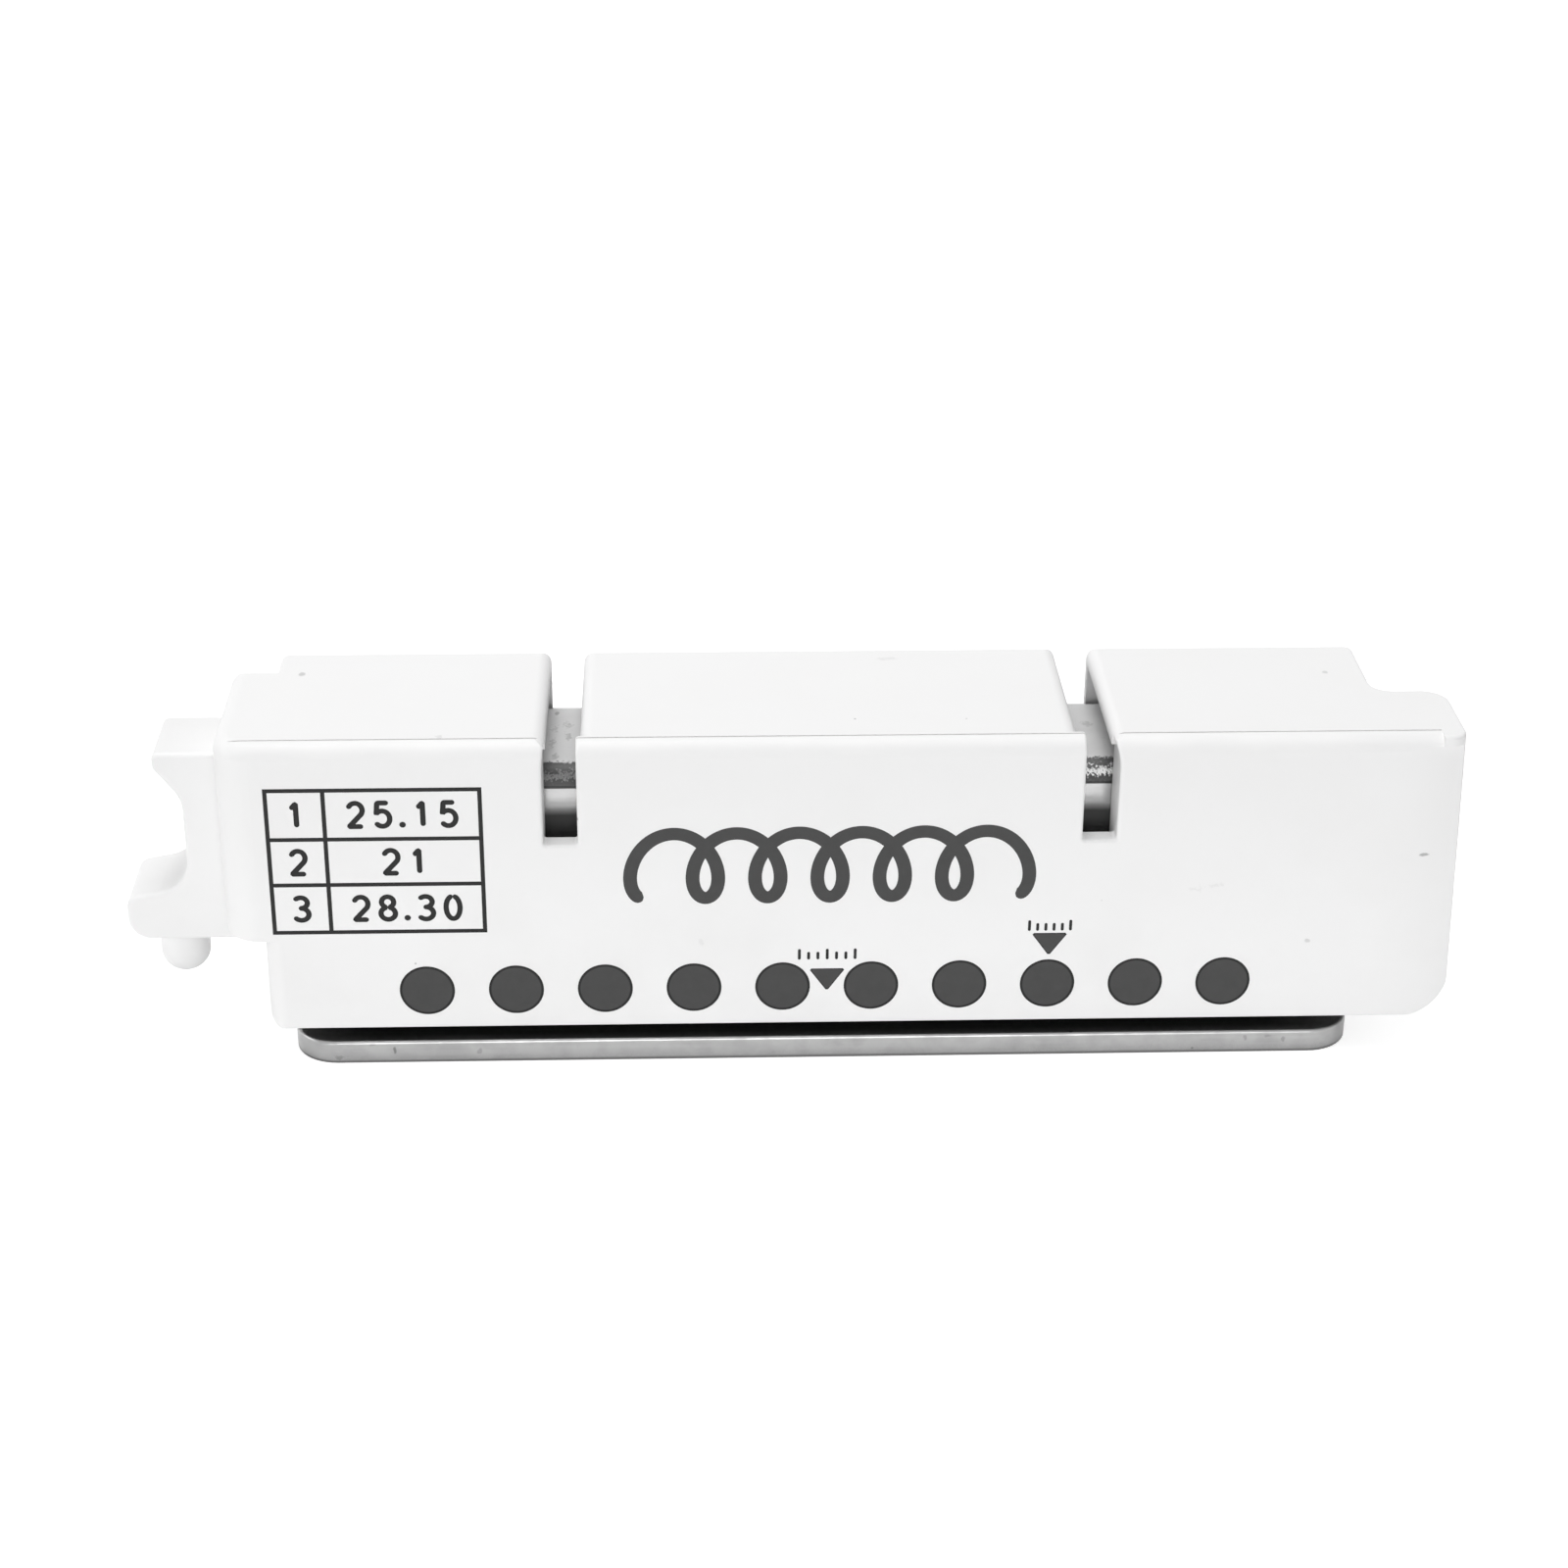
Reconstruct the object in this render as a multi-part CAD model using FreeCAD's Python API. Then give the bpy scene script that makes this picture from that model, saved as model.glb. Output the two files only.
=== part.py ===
import FreeCAD, Part
import math
import os

# A punching head for coil binding: ten round punches under a sprung press channel, inside a white casing.
# Millimetres, +X to the right, +Y to the back, +Z up.
# The origin is the middle of the row of die holes, on the underside of the die plate.

Vector = FreeCAD.Vector
UP = Vector(0, 0, 1)

# Hole row: coil binding has three holes to the inch
hole_pitch = 8.4667
hole_count = 10
punch_diameter = 5.0
edge_margin = 4.5
paper_gap = 1.5

# Clearances
running_clearance = 0.05
seat_clearance = 0.02
rest_gap = 0.1
side_gap = 0.3
cut_margin = 1.0
plane_tolerance = 0.001

# Die plate
plate_overhang = 0.7
plate_thickness = 2.3
plate_front_corner = 4.3
plate_rear_corner = 2.0
plate_edge_round = 0.3
die_land = 1.1
die_relief = 0.4

# Spacer strip behind the row
spacer_inset = 2.6

# Lower guide plate
guide_plate_thickness = 2.0
guide_plate_corner = 2.0

# Bent bridge that holds the upper guide
bridge_sheet = 1.5
bridge_end_land = 0.9
bridge_height = 9.5
bridge_foot_gap = 0.7
bridge_rear_gap = 0.4
bridge_bend = 2.0

# Casing
casing_height = 29.9
left_shoulder_reach = 4.5
right_shoulder_reach = 6.85
right_end_lean = 1.0
left_shoulder_back = 1.0
right_shoulder_back = -5.4
wall = 1.8
back_wall = 1.2
deck_thickness = 1.4
front_left_corner = 3.5
front_right_corner = 1.6
right_rear_corner = 2.4
right_inner_corner = 2.0
deck_corner = 0.8
top_front_round = 1.5
corner_lip = 2.3
lip_thickness = 1.0
right_sweep_length = 5.9
right_sweep_depth = 0.7
right_bottom_round = 4.3
parting_line_width = 0.22
parting_line_depth = 0.14
notch_step = 0.8
notch_height = 9.6
notch_corner = 1.8
notch_bottom_round = 1.6
casing_edge_round = 0.3

# Slots for the press fingers
slot_width = 3.2
deck_slot_centre = 24.72
left_slot_jog = 0.33
right_slot_jog = 0.68
jog_land = 0.02
slot_flare_height = 3.2
slot_jog_depth = 1.95
deck_slot_round = 1.1
finger_reserve = 1.1
slot_rib = 1.2
slot_rib_gap = 0.35
slot_rib_foot = 2.5
rear_notch_height = 23.9

# Press channel
channel_sheet = 1.5
channel_end_gap = 0.4
channel_rear_gap = 1.3
channel_bend = 2.0
channel_flange_depth = 11.8
channel_edge_round = 0.2
channel_post_gap = 1.05
press_stroke = 4.4

# Punches and the comb that holds them
neck_diameter = 3.4
neck_play = 0.1
head_height = 1.9
comb_sheet = 1.5
comb_rear_step = 0.2
comb_front_gap = 0.25
comb_end_land = 1.3
tip_above_guide_face = 0.8
tip_stagger = 0.5
tip_notch_depth = 0.6
tip_notch_radius = 6.0

# Comb screws and their sleeves
comb_screw_steps = (1, 4)
comb_screw_gap = 1.75
comb_screw_shank = 2.5
comb_screw_head = 4.8
comb_screw_head_height = 1.1
sleeve_diameter = 4.6

# Guide posts, clips, bushes and return springs
post_ahead = 5.0
post_bridge_gap = 1.5
post_edge_land = 0.6
post_deck_gap = 2.0
post_diameter = 4.0
post_foot_diameter = 3.0
post_foot_head = 4.4
post_foot_head_height = 0.7
post_above_clip = 0.8
clip_thickness = 0.6
clip_diameter = 7.4
clip_groove_depth = 0.4
clip_mouth = 2.6
bush_sleeve_diameter = 5.6
bush_flange_diameter = 7.0
bush_flange_height = 1.0
return_wire = 0.7
return_coil_diameter = 5.9
return_turns = 9

# Rivets, screws and dowels
rivet_inner_x = 12.0
rivet_outer_x = 34.0
rivet_edge_land = 0.4
rivet_web_gap = 0.7
rivet_diameter = 3.0
rivet_head = 4.6
rivet_head_height = 1.3
rivet_foot = 4.4
rivet_foot_height = 0.7
frame_screw_inner_x = 14.0
frame_screw_inset = 5.0
frame_screw_edge_land = 0.35
frame_screw_shank = 2.5
frame_screw_head = 4.6
frame_screw_head_height = 1.1
frame_screw_top_gap = 0.2
dowel_diameter = 2.5
dowel_end_gap = 0.2
casing_screw_shank = 2.2
casing_screw_head = 4.2
casing_screw_head_height = 1.0
casing_screw_top_gap = 0.7
boss_diameter = 5.2
boss_end_gap = 0.5
boss_wall_gap = 0.1
boss_front_gap = 0.6
boss_rear_gap = 0.4
boss_press_gap = 0.6
boss_rib = 1.4
recess_width = 0.6
recess_share = 0.7
recess_reach_share = 0.32

# Index arm, its rod and its spring
index_holes_away = 3
peg_diameter = 4.9
peg_dip = 0.4
peg_tip_round = 2.2
arm_gap = 0.15
arm_front = 4.0
arm_back = 4.6
arm_web = 4.85
arm_bottom_rise = 3.3
arm_edge_round = 0.5
arm_face_round = 0.4
lower_fin_reach = 11.1
lower_fin_top = 4.6
lower_fin_root_rise = 1.2
lower_fin_nose = 2.2
lower_fin_tip_round = 1.3
upper_fin_reach = 7.4
upper_fin_edge = 1.6
upper_fin_sweep = 3.4
finger_hollow_height = 9.5
upper_fin_round = 0.7
fin_fillet = 3.6
tongue_height = 5.0
tongue_gap = 0.3
lug_height = 1.8
lug_back = 4.7
index_lift = 4.0
rod_diameter = 1.8
rod_from_end = 2.1
rod_behind = 2.9
rod_bottom_cover = 0.6
index_wire = 0.3
index_coil_diameter = 2.8
index_turns = 6
index_spring_pressed = 4.8

# Places along the row that follow from the values above
hole_xs = [(number - (hole_count - 1) / 2) * hole_pitch for number in range(hole_count)]
hole_end_x = hole_xs[-1]
bridge_half_length = hole_end_x + punch_diameter / 2 + bridge_end_land
post_x = bridge_half_length + post_bridge_gap + bush_flange_diameter / 2
guide_half_length = post_x + bush_flange_diameter / 2 + post_edge_land
plate_half_length = guide_half_length + plate_overhang
spacer_half_length = guide_half_length - spacer_inset
channel_half_length = guide_half_length - channel_end_gap
shoulder_half_length = guide_half_length + rest_gap + wall
casing_left = shoulder_half_length + left_shoulder_reach
casing_right_top = shoulder_half_length + right_shoulder_reach
casing_right_bottom = casing_right_top + right_end_lean
notch_left = shoulder_half_length + notch_step
frame_screw_outer_x = spacer_half_length - frame_screw_inset
dowel_x = (frame_screw_inner_x + frame_screw_outer_x) / 2
casing_screw_x = guide_half_length - boss_diameter / 2 - boss_end_gap
rod_x = casing_left - rod_from_end
front_slot_left = -deck_slot_centre - left_slot_jog
front_slot_right = deck_slot_centre + right_slot_jog
slot_edge_round = min(casing_edge_round, left_slot_jog - jog_land, right_slot_jog - jog_land)
arm_inner_x = -casing_left - arm_gap
arm_web_x = arm_inner_x - arm_web
index_peg_x = hole_xs[0] - index_holes_away * hole_pitch

# Places from front to back
post_to_boss = (return_coil_diameter + return_wire + boss_diameter) / 2
casing_screw_ahead = post_ahead + post_to_boss + boss_front_gap
casing_screw_behind = post_to_boss + boss_rear_gap - post_ahead
boss_to_wall = boss_diameter / 2 + boss_wall_gap
casing_inner_front = -casing_screw_ahead - boss_to_wall
casing_front = casing_inner_front - wall
casing_inner_back = casing_screw_behind + boss_to_wall
deck_back = casing_inner_back + back_wall
guide_front = casing_inner_front + side_gap
bridge_foot_front = -guide_front - bridge_foot_gap
rivet_ahead = bridge_foot_front - rivet_head / 2 - rivet_edge_land
bridge_web_front = rivet_ahead - rivet_head / 2 - rivet_web_gap
bridge_rear = casing_inner_back - bridge_rear_gap
channel_front = post_ahead + bush_flange_diameter / 2 + channel_post_gap + channel_sheet
channel_rear = casing_inner_back - channel_rear_gap
comb_rear = channel_rear - comb_rear_step
comb_screw_ahead = channel_front - channel_sheet - comb_screw_gap - sleeve_diameter / 2
plate_behind_row = edge_margin + frame_screw_head + 2 * frame_screw_edge_land
frame_screw_behind = (edge_margin + plate_behind_row) / 2

# Heights
gap_top = plate_thickness + paper_gap
guide_top = gap_top + guide_plate_thickness
casing_bottom = gap_top
casing_top = casing_bottom + casing_height
deck_underside = casing_top - deck_thickness
post_top = deck_underside - post_deck_gap
clip_bottom = post_top - post_above_clip - clip_thickness
channel_top = clip_bottom - rest_gap
channel_underside = channel_top - channel_sheet
slot_bottom = channel_top - press_stroke - finger_reserve
comb_top = channel_underside - head_height
comb_bottom = comb_top - comb_sheet
bridge_top = guide_top + bridge_height
bush_bottom = channel_underside - bush_flange_height
boss_top = channel_top - channel_flange_depth - press_stroke - boss_press_gap
casing_screw_length = boss_top - gap_top - casing_screw_top_gap
rivet_hole_length = guide_top + bridge_sheet - gap_top
notch_top = casing_bottom + notch_height
peg_tip = plate_thickness - peg_dip
arm_bottom = casing_bottom + arm_bottom_rise
fin_root = arm_bottom + lower_fin_top + lower_fin_root_rise
sweep_end = fin_root + finger_hollow_height
arm_top = sweep_end + upper_fin_sweep + upper_fin_edge
tongue_bottom = notch_top + lug_height + rest_gap
tongue_top = tongue_bottom + tongue_height
upper_lug_bottom = tongue_top + index_lift + index_spring_pressed


def box(x0, x1, y0, y1, z0, z1):
    """A box between two corners."""
    return Part.makeBox(x1 - x0, y1 - y0, z1 - z0, Vector(x0, y0, z0))


def upright(diameter, x, y, z0, z1):
    """A vertical cylinder."""
    return Part.makeCylinder(diameter / 2, z1 - z0, Vector(x, y, z0), UP)


def taper(diameter_low, diameter_high, x, y, z0, z1):
    """A vertical cone between two diameters."""
    return Part.makeCone(diameter_low / 2, diameter_high / 2, z1 - z0, Vector(x, y, z0), UP)


def join(first, others):
    """One solid out of touching or crossing solids."""
    return first.fuse(list(others)).removeSplitter()


def straight(a, b):
    """A straight edge."""
    return Part.LineSegment(a, b).toShape()


def arc(a, middle, b):
    """An arc through three points."""
    return Part.Arc(a, middle, b).toShape()


def corner_arc(before, corner, after, radius):
    """Start, middle and end of the arc that rounds one corner."""
    back = (before - corner).normalize()
    ahead = (after - corner).normalize()
    half_angle = back.getAngle(ahead) / 2
    bisector = (back + ahead).normalize()
    tangent_length = radius / math.tan(half_angle)
    centre = corner + bisector * (radius / math.sin(half_angle))
    return corner + back * tangent_length, centre - bisector * radius, corner + ahead * tangent_length


def rounded_wire(corners):
    """A closed wire through corners, each given as a point and a radius, where 0 is sharp."""
    count = len(corners)
    spans = []
    for index, (point, radius) in enumerate(corners):
        before = corners[index - 1][0]
        after = corners[(index + 1) % count][0]
        spans.append(corner_arc(before, point, after, radius) if radius > 0 else (point, None, point))
    edges = []
    for index, (start, middle, end) in enumerate(spans):
        if middle:
            edges.append(arc(start, middle, end))
        edges.append(straight(end, spans[(index + 1) % count][0]))
    return Part.Wire(edges)


def prism(wire, direction):
    """The solid that a closed wire sweeps along a direction."""
    return Part.Face(wire).extrude(direction)


def plate(half_length, front, rear, front_corner, rear_corner, bottom, thickness):
    """A flat plate with rounded corners."""
    corners = [
        (Vector(-half_length, front, bottom), front_corner),
        (Vector(half_length, front, bottom), front_corner),
        (Vector(half_length, rear, bottom), rear_corner),
        (Vector(-half_length, rear, bottom), rear_corner),
    ]
    return prism(rounded_wire(corners), UP * thickness)


def edges_at_height(solid, height):
    """The edges of a solid that lie in one horizontal plane."""
    found = []
    for edge in solid.Edges:
        bounds = edge.BoundBox
        if abs(bounds.ZMin - height) < plane_tolerance and abs(bounds.ZMax - height) < plane_tolerance:
            found.append(edge)
    return found


def sunk_head(shank, head, head_height, x, y, face, up):
    """A countersunk head whose flat face lies at the height face; up is 1 where the shank points up."""
    low, high = sorted((face, face + up * head_height))
    wide, narrow = (head, shank) if up > 0 else (shank, head)
    return taper(wide, narrow, x, y, low, high)


def cross_recess(head, depth, x, y, face, up):
    """The cross in a screw head."""
    reach = head * recess_reach_share
    low, high = sorted((face, face + up * depth))
    half = recess_width / 2
    first = box(x - reach, x + reach, y - half, y + half, low, high)
    return first.fuse(box(x - half, x + half, y - reach, y + reach, low, high))


def screw(shank, head, head_height, x, y, face, up, length):
    """A countersunk screw."""
    low, high = sorted((face, face + up * length))
    body = join(upright(shank, x, y, low, high), [sunk_head(shank, head, head_height, x, y, face, up)])
    return body.cut(cross_recess(head, head_height * recess_share, x, y, face, up))


def screw_hole(shank, head, head_height, x, y, face, up, length):
    """What a countersunk screw needs cut out of the pieces it holds."""
    ease = 2 * seat_clearance
    low, high = sorted((face, face + up * length))
    hole = upright(shank + ease, x, y, low, high)
    return hole.fuse(sunk_head(shank + ease, head + ease, head_height, x, y, face, up))


def biarc(start, start_way, end, end_way):
    """Two arcs that leave one point and reach another along given directions."""
    across = end - start
    ways = start_way + end_way
    spread = 2 * (1 - start_way.dot(end_way))
    reach = across.dot(ways)
    length = (math.sqrt(reach * reach + spread * across.dot(across)) - reach) / spread
    joint = (start + start_way * length + end - end_way * length) * 0.5
    return [leaving_arc(start, start_way, joint), leaving_arc(end, end_way * -1, joint)]


def leaving_arc(start, way, end):
    """The arc that leaves a point along a direction and ends at another point."""
    chord = end - start
    along = Vector(chord).normalize()
    side = way - along * way.dot(along)
    rise = chord.Length / 2 * math.tan(way.getAngle(along) / 2)
    return arc(start, start + chord * 0.5 + side.normalize() * rise, end)


def coil_point(radius, x, y, z, rise, turn):
    """A point of a coil and the direction of its wire there."""
    angle = 2 * math.pi * turn
    point = Vector(x + radius * math.cos(angle), y + radius * math.sin(angle), z + rise * turn)
    way = Vector(-math.sin(angle), math.cos(angle), rise / (2 * math.pi * radius))
    return point, way.normalize()


def spring(name, wire, coil_diameter, turns, x, y, z0, z1):
    """A compression spring between two seats, as one tube on biarcs of a quarter turn."""
    radius = coil_diameter / 2
    bottom = z0 + seat_clearance + wire / 2
    rise = (z1 - z0 - 2 * seat_clearance - wire) / turns
    stations = [coil_point(radius, x, y, bottom, rise, quarter / 4) for quarter in range(4 * turns + 1)]
    edges = []
    for (start, start_way), (end, end_way) in zip(stations, stations[1:]):
        edges += biarc(start, start_way, end, end_way)
    path = Part.Wire(Part.sortEdges(edges)[0])
    circle = Part.Wire(Part.makeCircle(wire / 2, stations[0][0], stations[0][1]))
    print(name, "least gap between turns", round(rise - wire, 3))
    return path.makePipeShell([circle], True, False)


def make_die_plate():
    """Steel plate with the die holes, each wider below its cutting land."""
    body = plate(plate_half_length, casing_front, plate_behind_row, plate_front_corner, plate_rear_corner, 0,
                 plate_thickness)
    body = body.makeFillet(plate_edge_round, edges_at_height(body, plate_thickness))
    die = punch_diameter + 2 * running_clearance
    relief_top = plate_thickness - die_land
    cutters = []
    for x in hole_xs:
        cutters.append(upright(die, x, 0, -cut_margin, plate_thickness + cut_margin))
        cutters.append(upright(die + 2 * die_relief, x, 0, -cut_margin, relief_top))
    cutters += frame_screw_holes()
    cutters += dowel_holes()
    return body.cut(cutters)


def make_gap_spacer():
    """Strip that sets the paper gap; its front edge stops the paper."""
    strip = box(-spacer_half_length, spacer_half_length, edge_margin, plate_behind_row, plate_thickness,
                gap_top)
    return strip.cut(frame_screw_holes() + dowel_holes())


def make_guide_plate():
    """Lower guide of the punches, which also strips the paper off them."""
    body = plate(guide_half_length, guide_front, plate_behind_row, guide_plate_corner, guide_plate_corner,
                 gap_top, guide_plate_thickness)
    bore = punch_diameter + 2 * running_clearance
    cutters = [upright(bore, x, 0, gap_top - cut_margin, guide_top + cut_margin) for x in hole_xs]
    cutters += frame_screw_holes() + dowel_holes() + casing_screw_holes()
    cutters += [rivet_hole(x) for x in rivet_xs()]
    cutters += [post_hole(x) for x in post_xs()]
    return body.cut(cutters)


def make_guide_bridge():
    """Upper guide: a sheet bent up from a foot on the guide plate, over the punches."""
    foot_bottom = guide_top
    half = bridge_half_length
    sheet = bridge_sheet
    web = bridge_web_front
    outer = bridge_bend
    inner = bridge_bend - sheet
    corners = [
        (Vector(-half, -bridge_foot_front, foot_bottom), 0),
        (Vector(-half, -web + sheet, foot_bottom), outer),
        (Vector(-half, -web + sheet, bridge_top - sheet), inner),
        (Vector(-half, bridge_rear, bridge_top - sheet), 0),
        (Vector(-half, bridge_rear, bridge_top), 0),
        (Vector(-half, -web, bridge_top), outer),
        (Vector(-half, -web, foot_bottom + sheet), inner),
        (Vector(-half, -bridge_foot_front, foot_bottom + sheet), 0),
    ]
    body = prism(rounded_wire(corners), Vector(2 * half, 0, 0))
    bore = punch_diameter + 2 * running_clearance
    cutters = [upright(bore, x, 0, guide_top, bridge_top + cut_margin) for x in hole_xs]
    cutters += [rivet_hole(x) for x in rivet_xs()]
    return body.cut(cutters)


def rivet_xs():
    """Places of the bridge rivets along the row."""
    return [side * x for x in (rivet_inner_x, rivet_outer_x) for side in (-1, 1)]


def rivet_hole(x):
    """Hole for one rivet, sunk at the paper gap."""
    ease = 2 * seat_clearance
    top = gap_top + rivet_hole_length + cut_margin
    hole = upright(rivet_diameter + ease, x, -rivet_ahead, gap_top - cut_margin, top)
    foot_top = gap_top + rivet_foot_height
    foot = taper(rivet_foot + ease, rivet_diameter + ease, x, -rivet_ahead, gap_top, foot_top)
    return hole.fuse(foot)


def make_rivet(x):
    """One rivet: domed head on the bridge foot, sunk end in the guide plate."""
    head_bottom = gap_top + rivet_hole_length
    half_width = rivet_head / 2
    dome_radius = (half_width * half_width + rivet_head_height * rivet_head_height) / (2 * rivet_head_height)
    dome_centre = Vector(x, -rivet_ahead, head_bottom + rivet_head_height - dome_radius)
    dome = Part.makeSphere(dome_radius, dome_centre)
    lid = upright(rivet_head, x, -rivet_ahead, head_bottom, head_bottom + rivet_head_height)
    shank = upright(rivet_diameter, x, -rivet_ahead, gap_top, head_bottom)
    foot = taper(rivet_foot, rivet_diameter, x, -rivet_ahead, gap_top, gap_top + rivet_foot_height)
    return join(shank, [foot, lid.common(dome)])


def frame_screw_xs():
    """Places of the frame screws along the rear edge."""
    return [side * x for x in (frame_screw_inner_x, frame_screw_outer_x) for side in (-1, 1)]


def frame_screw_holes():
    """Holes for the screws through die plate, spacer and guide plate."""
    return [
        screw_hole(frame_screw_shank, frame_screw_head, frame_screw_head_height, x, frame_screw_behind, 0, 1,
                   guide_top + cut_margin)
        for x in frame_screw_xs()
    ]


def make_frame_screws():
    """The four screws that hold die plate, spacer and guide plate together."""
    length = guide_top - frame_screw_top_gap
    return Part.Compound([
        screw(frame_screw_shank, frame_screw_head, frame_screw_head_height, x, frame_screw_behind, 0, 1,
              length)
        for x in frame_screw_xs()
    ])


def dowel_holes():
    """Reamed holes that line up the plates."""
    ease = 2 * seat_clearance
    return [
        upright(dowel_diameter + ease, side * dowel_x, frame_screw_behind, -cut_margin,
                guide_top + cut_margin)
        for side in (-1, 1)
    ]


def make_dowel_pins():
    """Two plain dowels."""
    return Part.Compound([
        upright(dowel_diameter, side * dowel_x, frame_screw_behind, dowel_end_gap, guide_top - dowel_end_gap)
        for side in (-1, 1)
    ])


def casing_screw_places():
    """Places of the casing screws, front and rear on both sides."""
    ys = (-casing_screw_ahead, casing_screw_behind)
    return [(side * casing_screw_x, y) for side in (-1, 1) for y in ys]


def casing_screw_holes():
    """Holes for the casing screws, in the guide plate and in the bosses."""
    return [
        screw_hole(casing_screw_shank, casing_screw_head, casing_screw_head_height, x, y, gap_top, 1,
                   casing_screw_length + rest_gap)
        for x, y in casing_screw_places()
    ]


def make_casing_screws():
    """The four screws that hold the casing on the guide plate."""
    return Part.Compound([
        screw(casing_screw_shank, casing_screw_head, casing_screw_head_height, x, y, gap_top, 1,
              casing_screw_length)
        for x, y in casing_screw_places()
    ])


def casing_right_at(height):
    """The right end leans out towards the bottom."""
    share = (height - casing_bottom) / casing_height
    return casing_right_bottom + (casing_right_top - casing_right_bottom) * share


def smaller_radius(radius, inset):
    """Radius of an outer corner on the inner side of a wall."""
    return max(radius - inset, 0)


def casing_outline(height, side_inset, back_inset):
    """Outline of the casing at one height, drawn in by the walls for its inside."""
    front = casing_front + side_inset
    left = -casing_left + side_inset
    right = casing_right_at(height) - side_inset
    shoulder = shoulder_half_length - side_inset
    back = deck_back - back_inset
    left_step = left_shoulder_back - side_inset
    right_step = right_shoulder_back - side_inset
    corners = [
        (Vector(left, front, height), smaller_radius(front_left_corner, side_inset)),
        (Vector(right, front, height), smaller_radius(front_right_corner, side_inset)),
        (Vector(right, right_step, height), smaller_radius(right_rear_corner, side_inset)),
        (Vector(shoulder, right_step, height), right_inner_corner + side_inset),
        (Vector(shoulder, back, height), smaller_radius(deck_corner, side_inset)),
        (Vector(-shoulder, back, height), smaller_radius(deck_corner, side_inset)),
        (Vector(-shoulder, left_step, height), 0),
        (Vector(left, left_step, height), smaller_radius(deck_corner, side_inset)),
    ]
    return rounded_wire(corners)


def casing_block(bottom, top, side_inset, back_inset):
    """Solid between the outlines at two heights."""
    low = casing_outline(bottom, side_inset, back_inset)
    high = casing_outline(top, side_inset, back_inset)
    return Part.makeLoft([low, high], True, True)


def edge_round_profile(x, y, outward, radius):
    """Section of what a rounded top edge takes away; outward points out of the casing at the edge."""
    edge = Vector(x, y, casing_top)
    low = edge - UP * radius
    inner = edge - outward * radius
    middle = inner - UP * radius + (outward + UP) * (radius * math.sqrt(0.5))
    far_low = low + outward * cut_margin
    far_high = edge + (outward + UP) * cut_margin
    over = inner + UP * cut_margin
    edges = [arc(low, middle, inner), straight(inner, over), straight(over, far_high),
             straight(far_high, far_low), straight(far_low, low)]
    return Part.Face(Part.Wire(edges))


def top_edge_rounders():
    """What rounds the deck's edge along the front, round the left corner and along the left end."""
    ahead = Vector(0, -1, 0)
    leftward = Vector(-1, 0, 0)
    corner_x = -casing_left + front_left_corner
    corner_y = casing_front + front_left_corner
    run = casing_right_top - corner_lip - corner_x
    depth = left_shoulder_back + cut_margin - corner_y
    section = edge_round_profile(corner_x, casing_front, ahead, top_front_round)
    front = section.extrude(Vector(run, 0, 0))
    corner = section.revolve(Vector(corner_x, corner_y, 0), UP, -90)
    side_section = edge_round_profile(-casing_left, corner_y, leftward, top_front_round)
    return [front, corner, side_section.extrude(Vector(0, depth, 0))]


def right_end_cutters():
    """What sweeps the front back towards the right end, below the lip, and rounds the end's lower edge."""
    top = casing_top - lip_thickness
    low = casing_bottom - cut_margin
    start = casing_right_top - right_sweep_length
    reach = casing_right_bottom + cut_margin
    radius = (right_sweep_length ** 2 + right_sweep_depth ** 2) / (2 * right_sweep_depth)
    sweep = box(start, reach, casing_front - cut_margin, casing_front + 2 * right_sweep_depth, low, top)
    keep_sweep = upright(2 * radius, start, casing_front + radius, low, top)
    foot_x = casing_right_at(casing_bottom + right_bottom_round) - right_bottom_round
    foot = box(foot_x, reach, casing_front - cut_margin, deck_back, low, casing_bottom + right_bottom_round)
    foot_axis = Vector(foot_x, casing_front - 2 * cut_margin, casing_bottom + right_bottom_round)
    keep_foot = Part.makeCylinder(right_bottom_round, deck_back - casing_front + 3 * cut_margin, foot_axis,
                                  Vector(0, 1, 0))
    return [sweep.cut(keep_sweep), foot.cut(keep_foot)]


def notch_cutters():
    """The recess at the lower left end, with its rounded upright and bottom corners."""
    reach = casing_left + cut_margin
    low = casing_bottom - cut_margin
    back = deck_back + cut_margin
    recess = box(-reach, -notch_left, casing_front - cut_margin, back, low, notch_top)
    post = box(-notch_left - cut_margin, -notch_left + notch_corner, casing_front - cut_margin,
               casing_front + notch_corner, low, notch_top)
    keep_post = upright(2 * notch_corner, -notch_left + notch_corner, casing_front + notch_corner, low,
                        notch_top)
    foot_x = -notch_left + notch_bottom_round
    foot_top = casing_bottom + notch_bottom_round
    foot = box(-notch_left - cut_margin, foot_x, casing_front - cut_margin, back, low, foot_top)
    foot_axis = Vector(foot_x, casing_front - cut_margin, foot_top)
    keep_foot = Part.makeCylinder(notch_bottom_round, back - casing_front + cut_margin, foot_axis,
                                  Vector(0, 1, 0))
    return [recess, post.cut(keep_post), foot.cut(keep_foot)]


def casing_hollow():
    """Inside of the casing, shallower over the notch and closed under the right end."""
    hollow = casing_block(casing_bottom - cut_margin, deck_underside, wall, back_wall)
    notch_floor = box(-casing_left, -notch_left + wall, casing_front, deck_back,
                      casing_bottom - 2 * cut_margin, notch_top + wall)
    end_floor = box(guide_half_length + side_gap, casing_right_bottom, casing_front, deck_back,
                    casing_bottom - 2 * cut_margin, casing_bottom + wall)
    return hollow.cut([notch_floor, end_floor])


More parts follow.
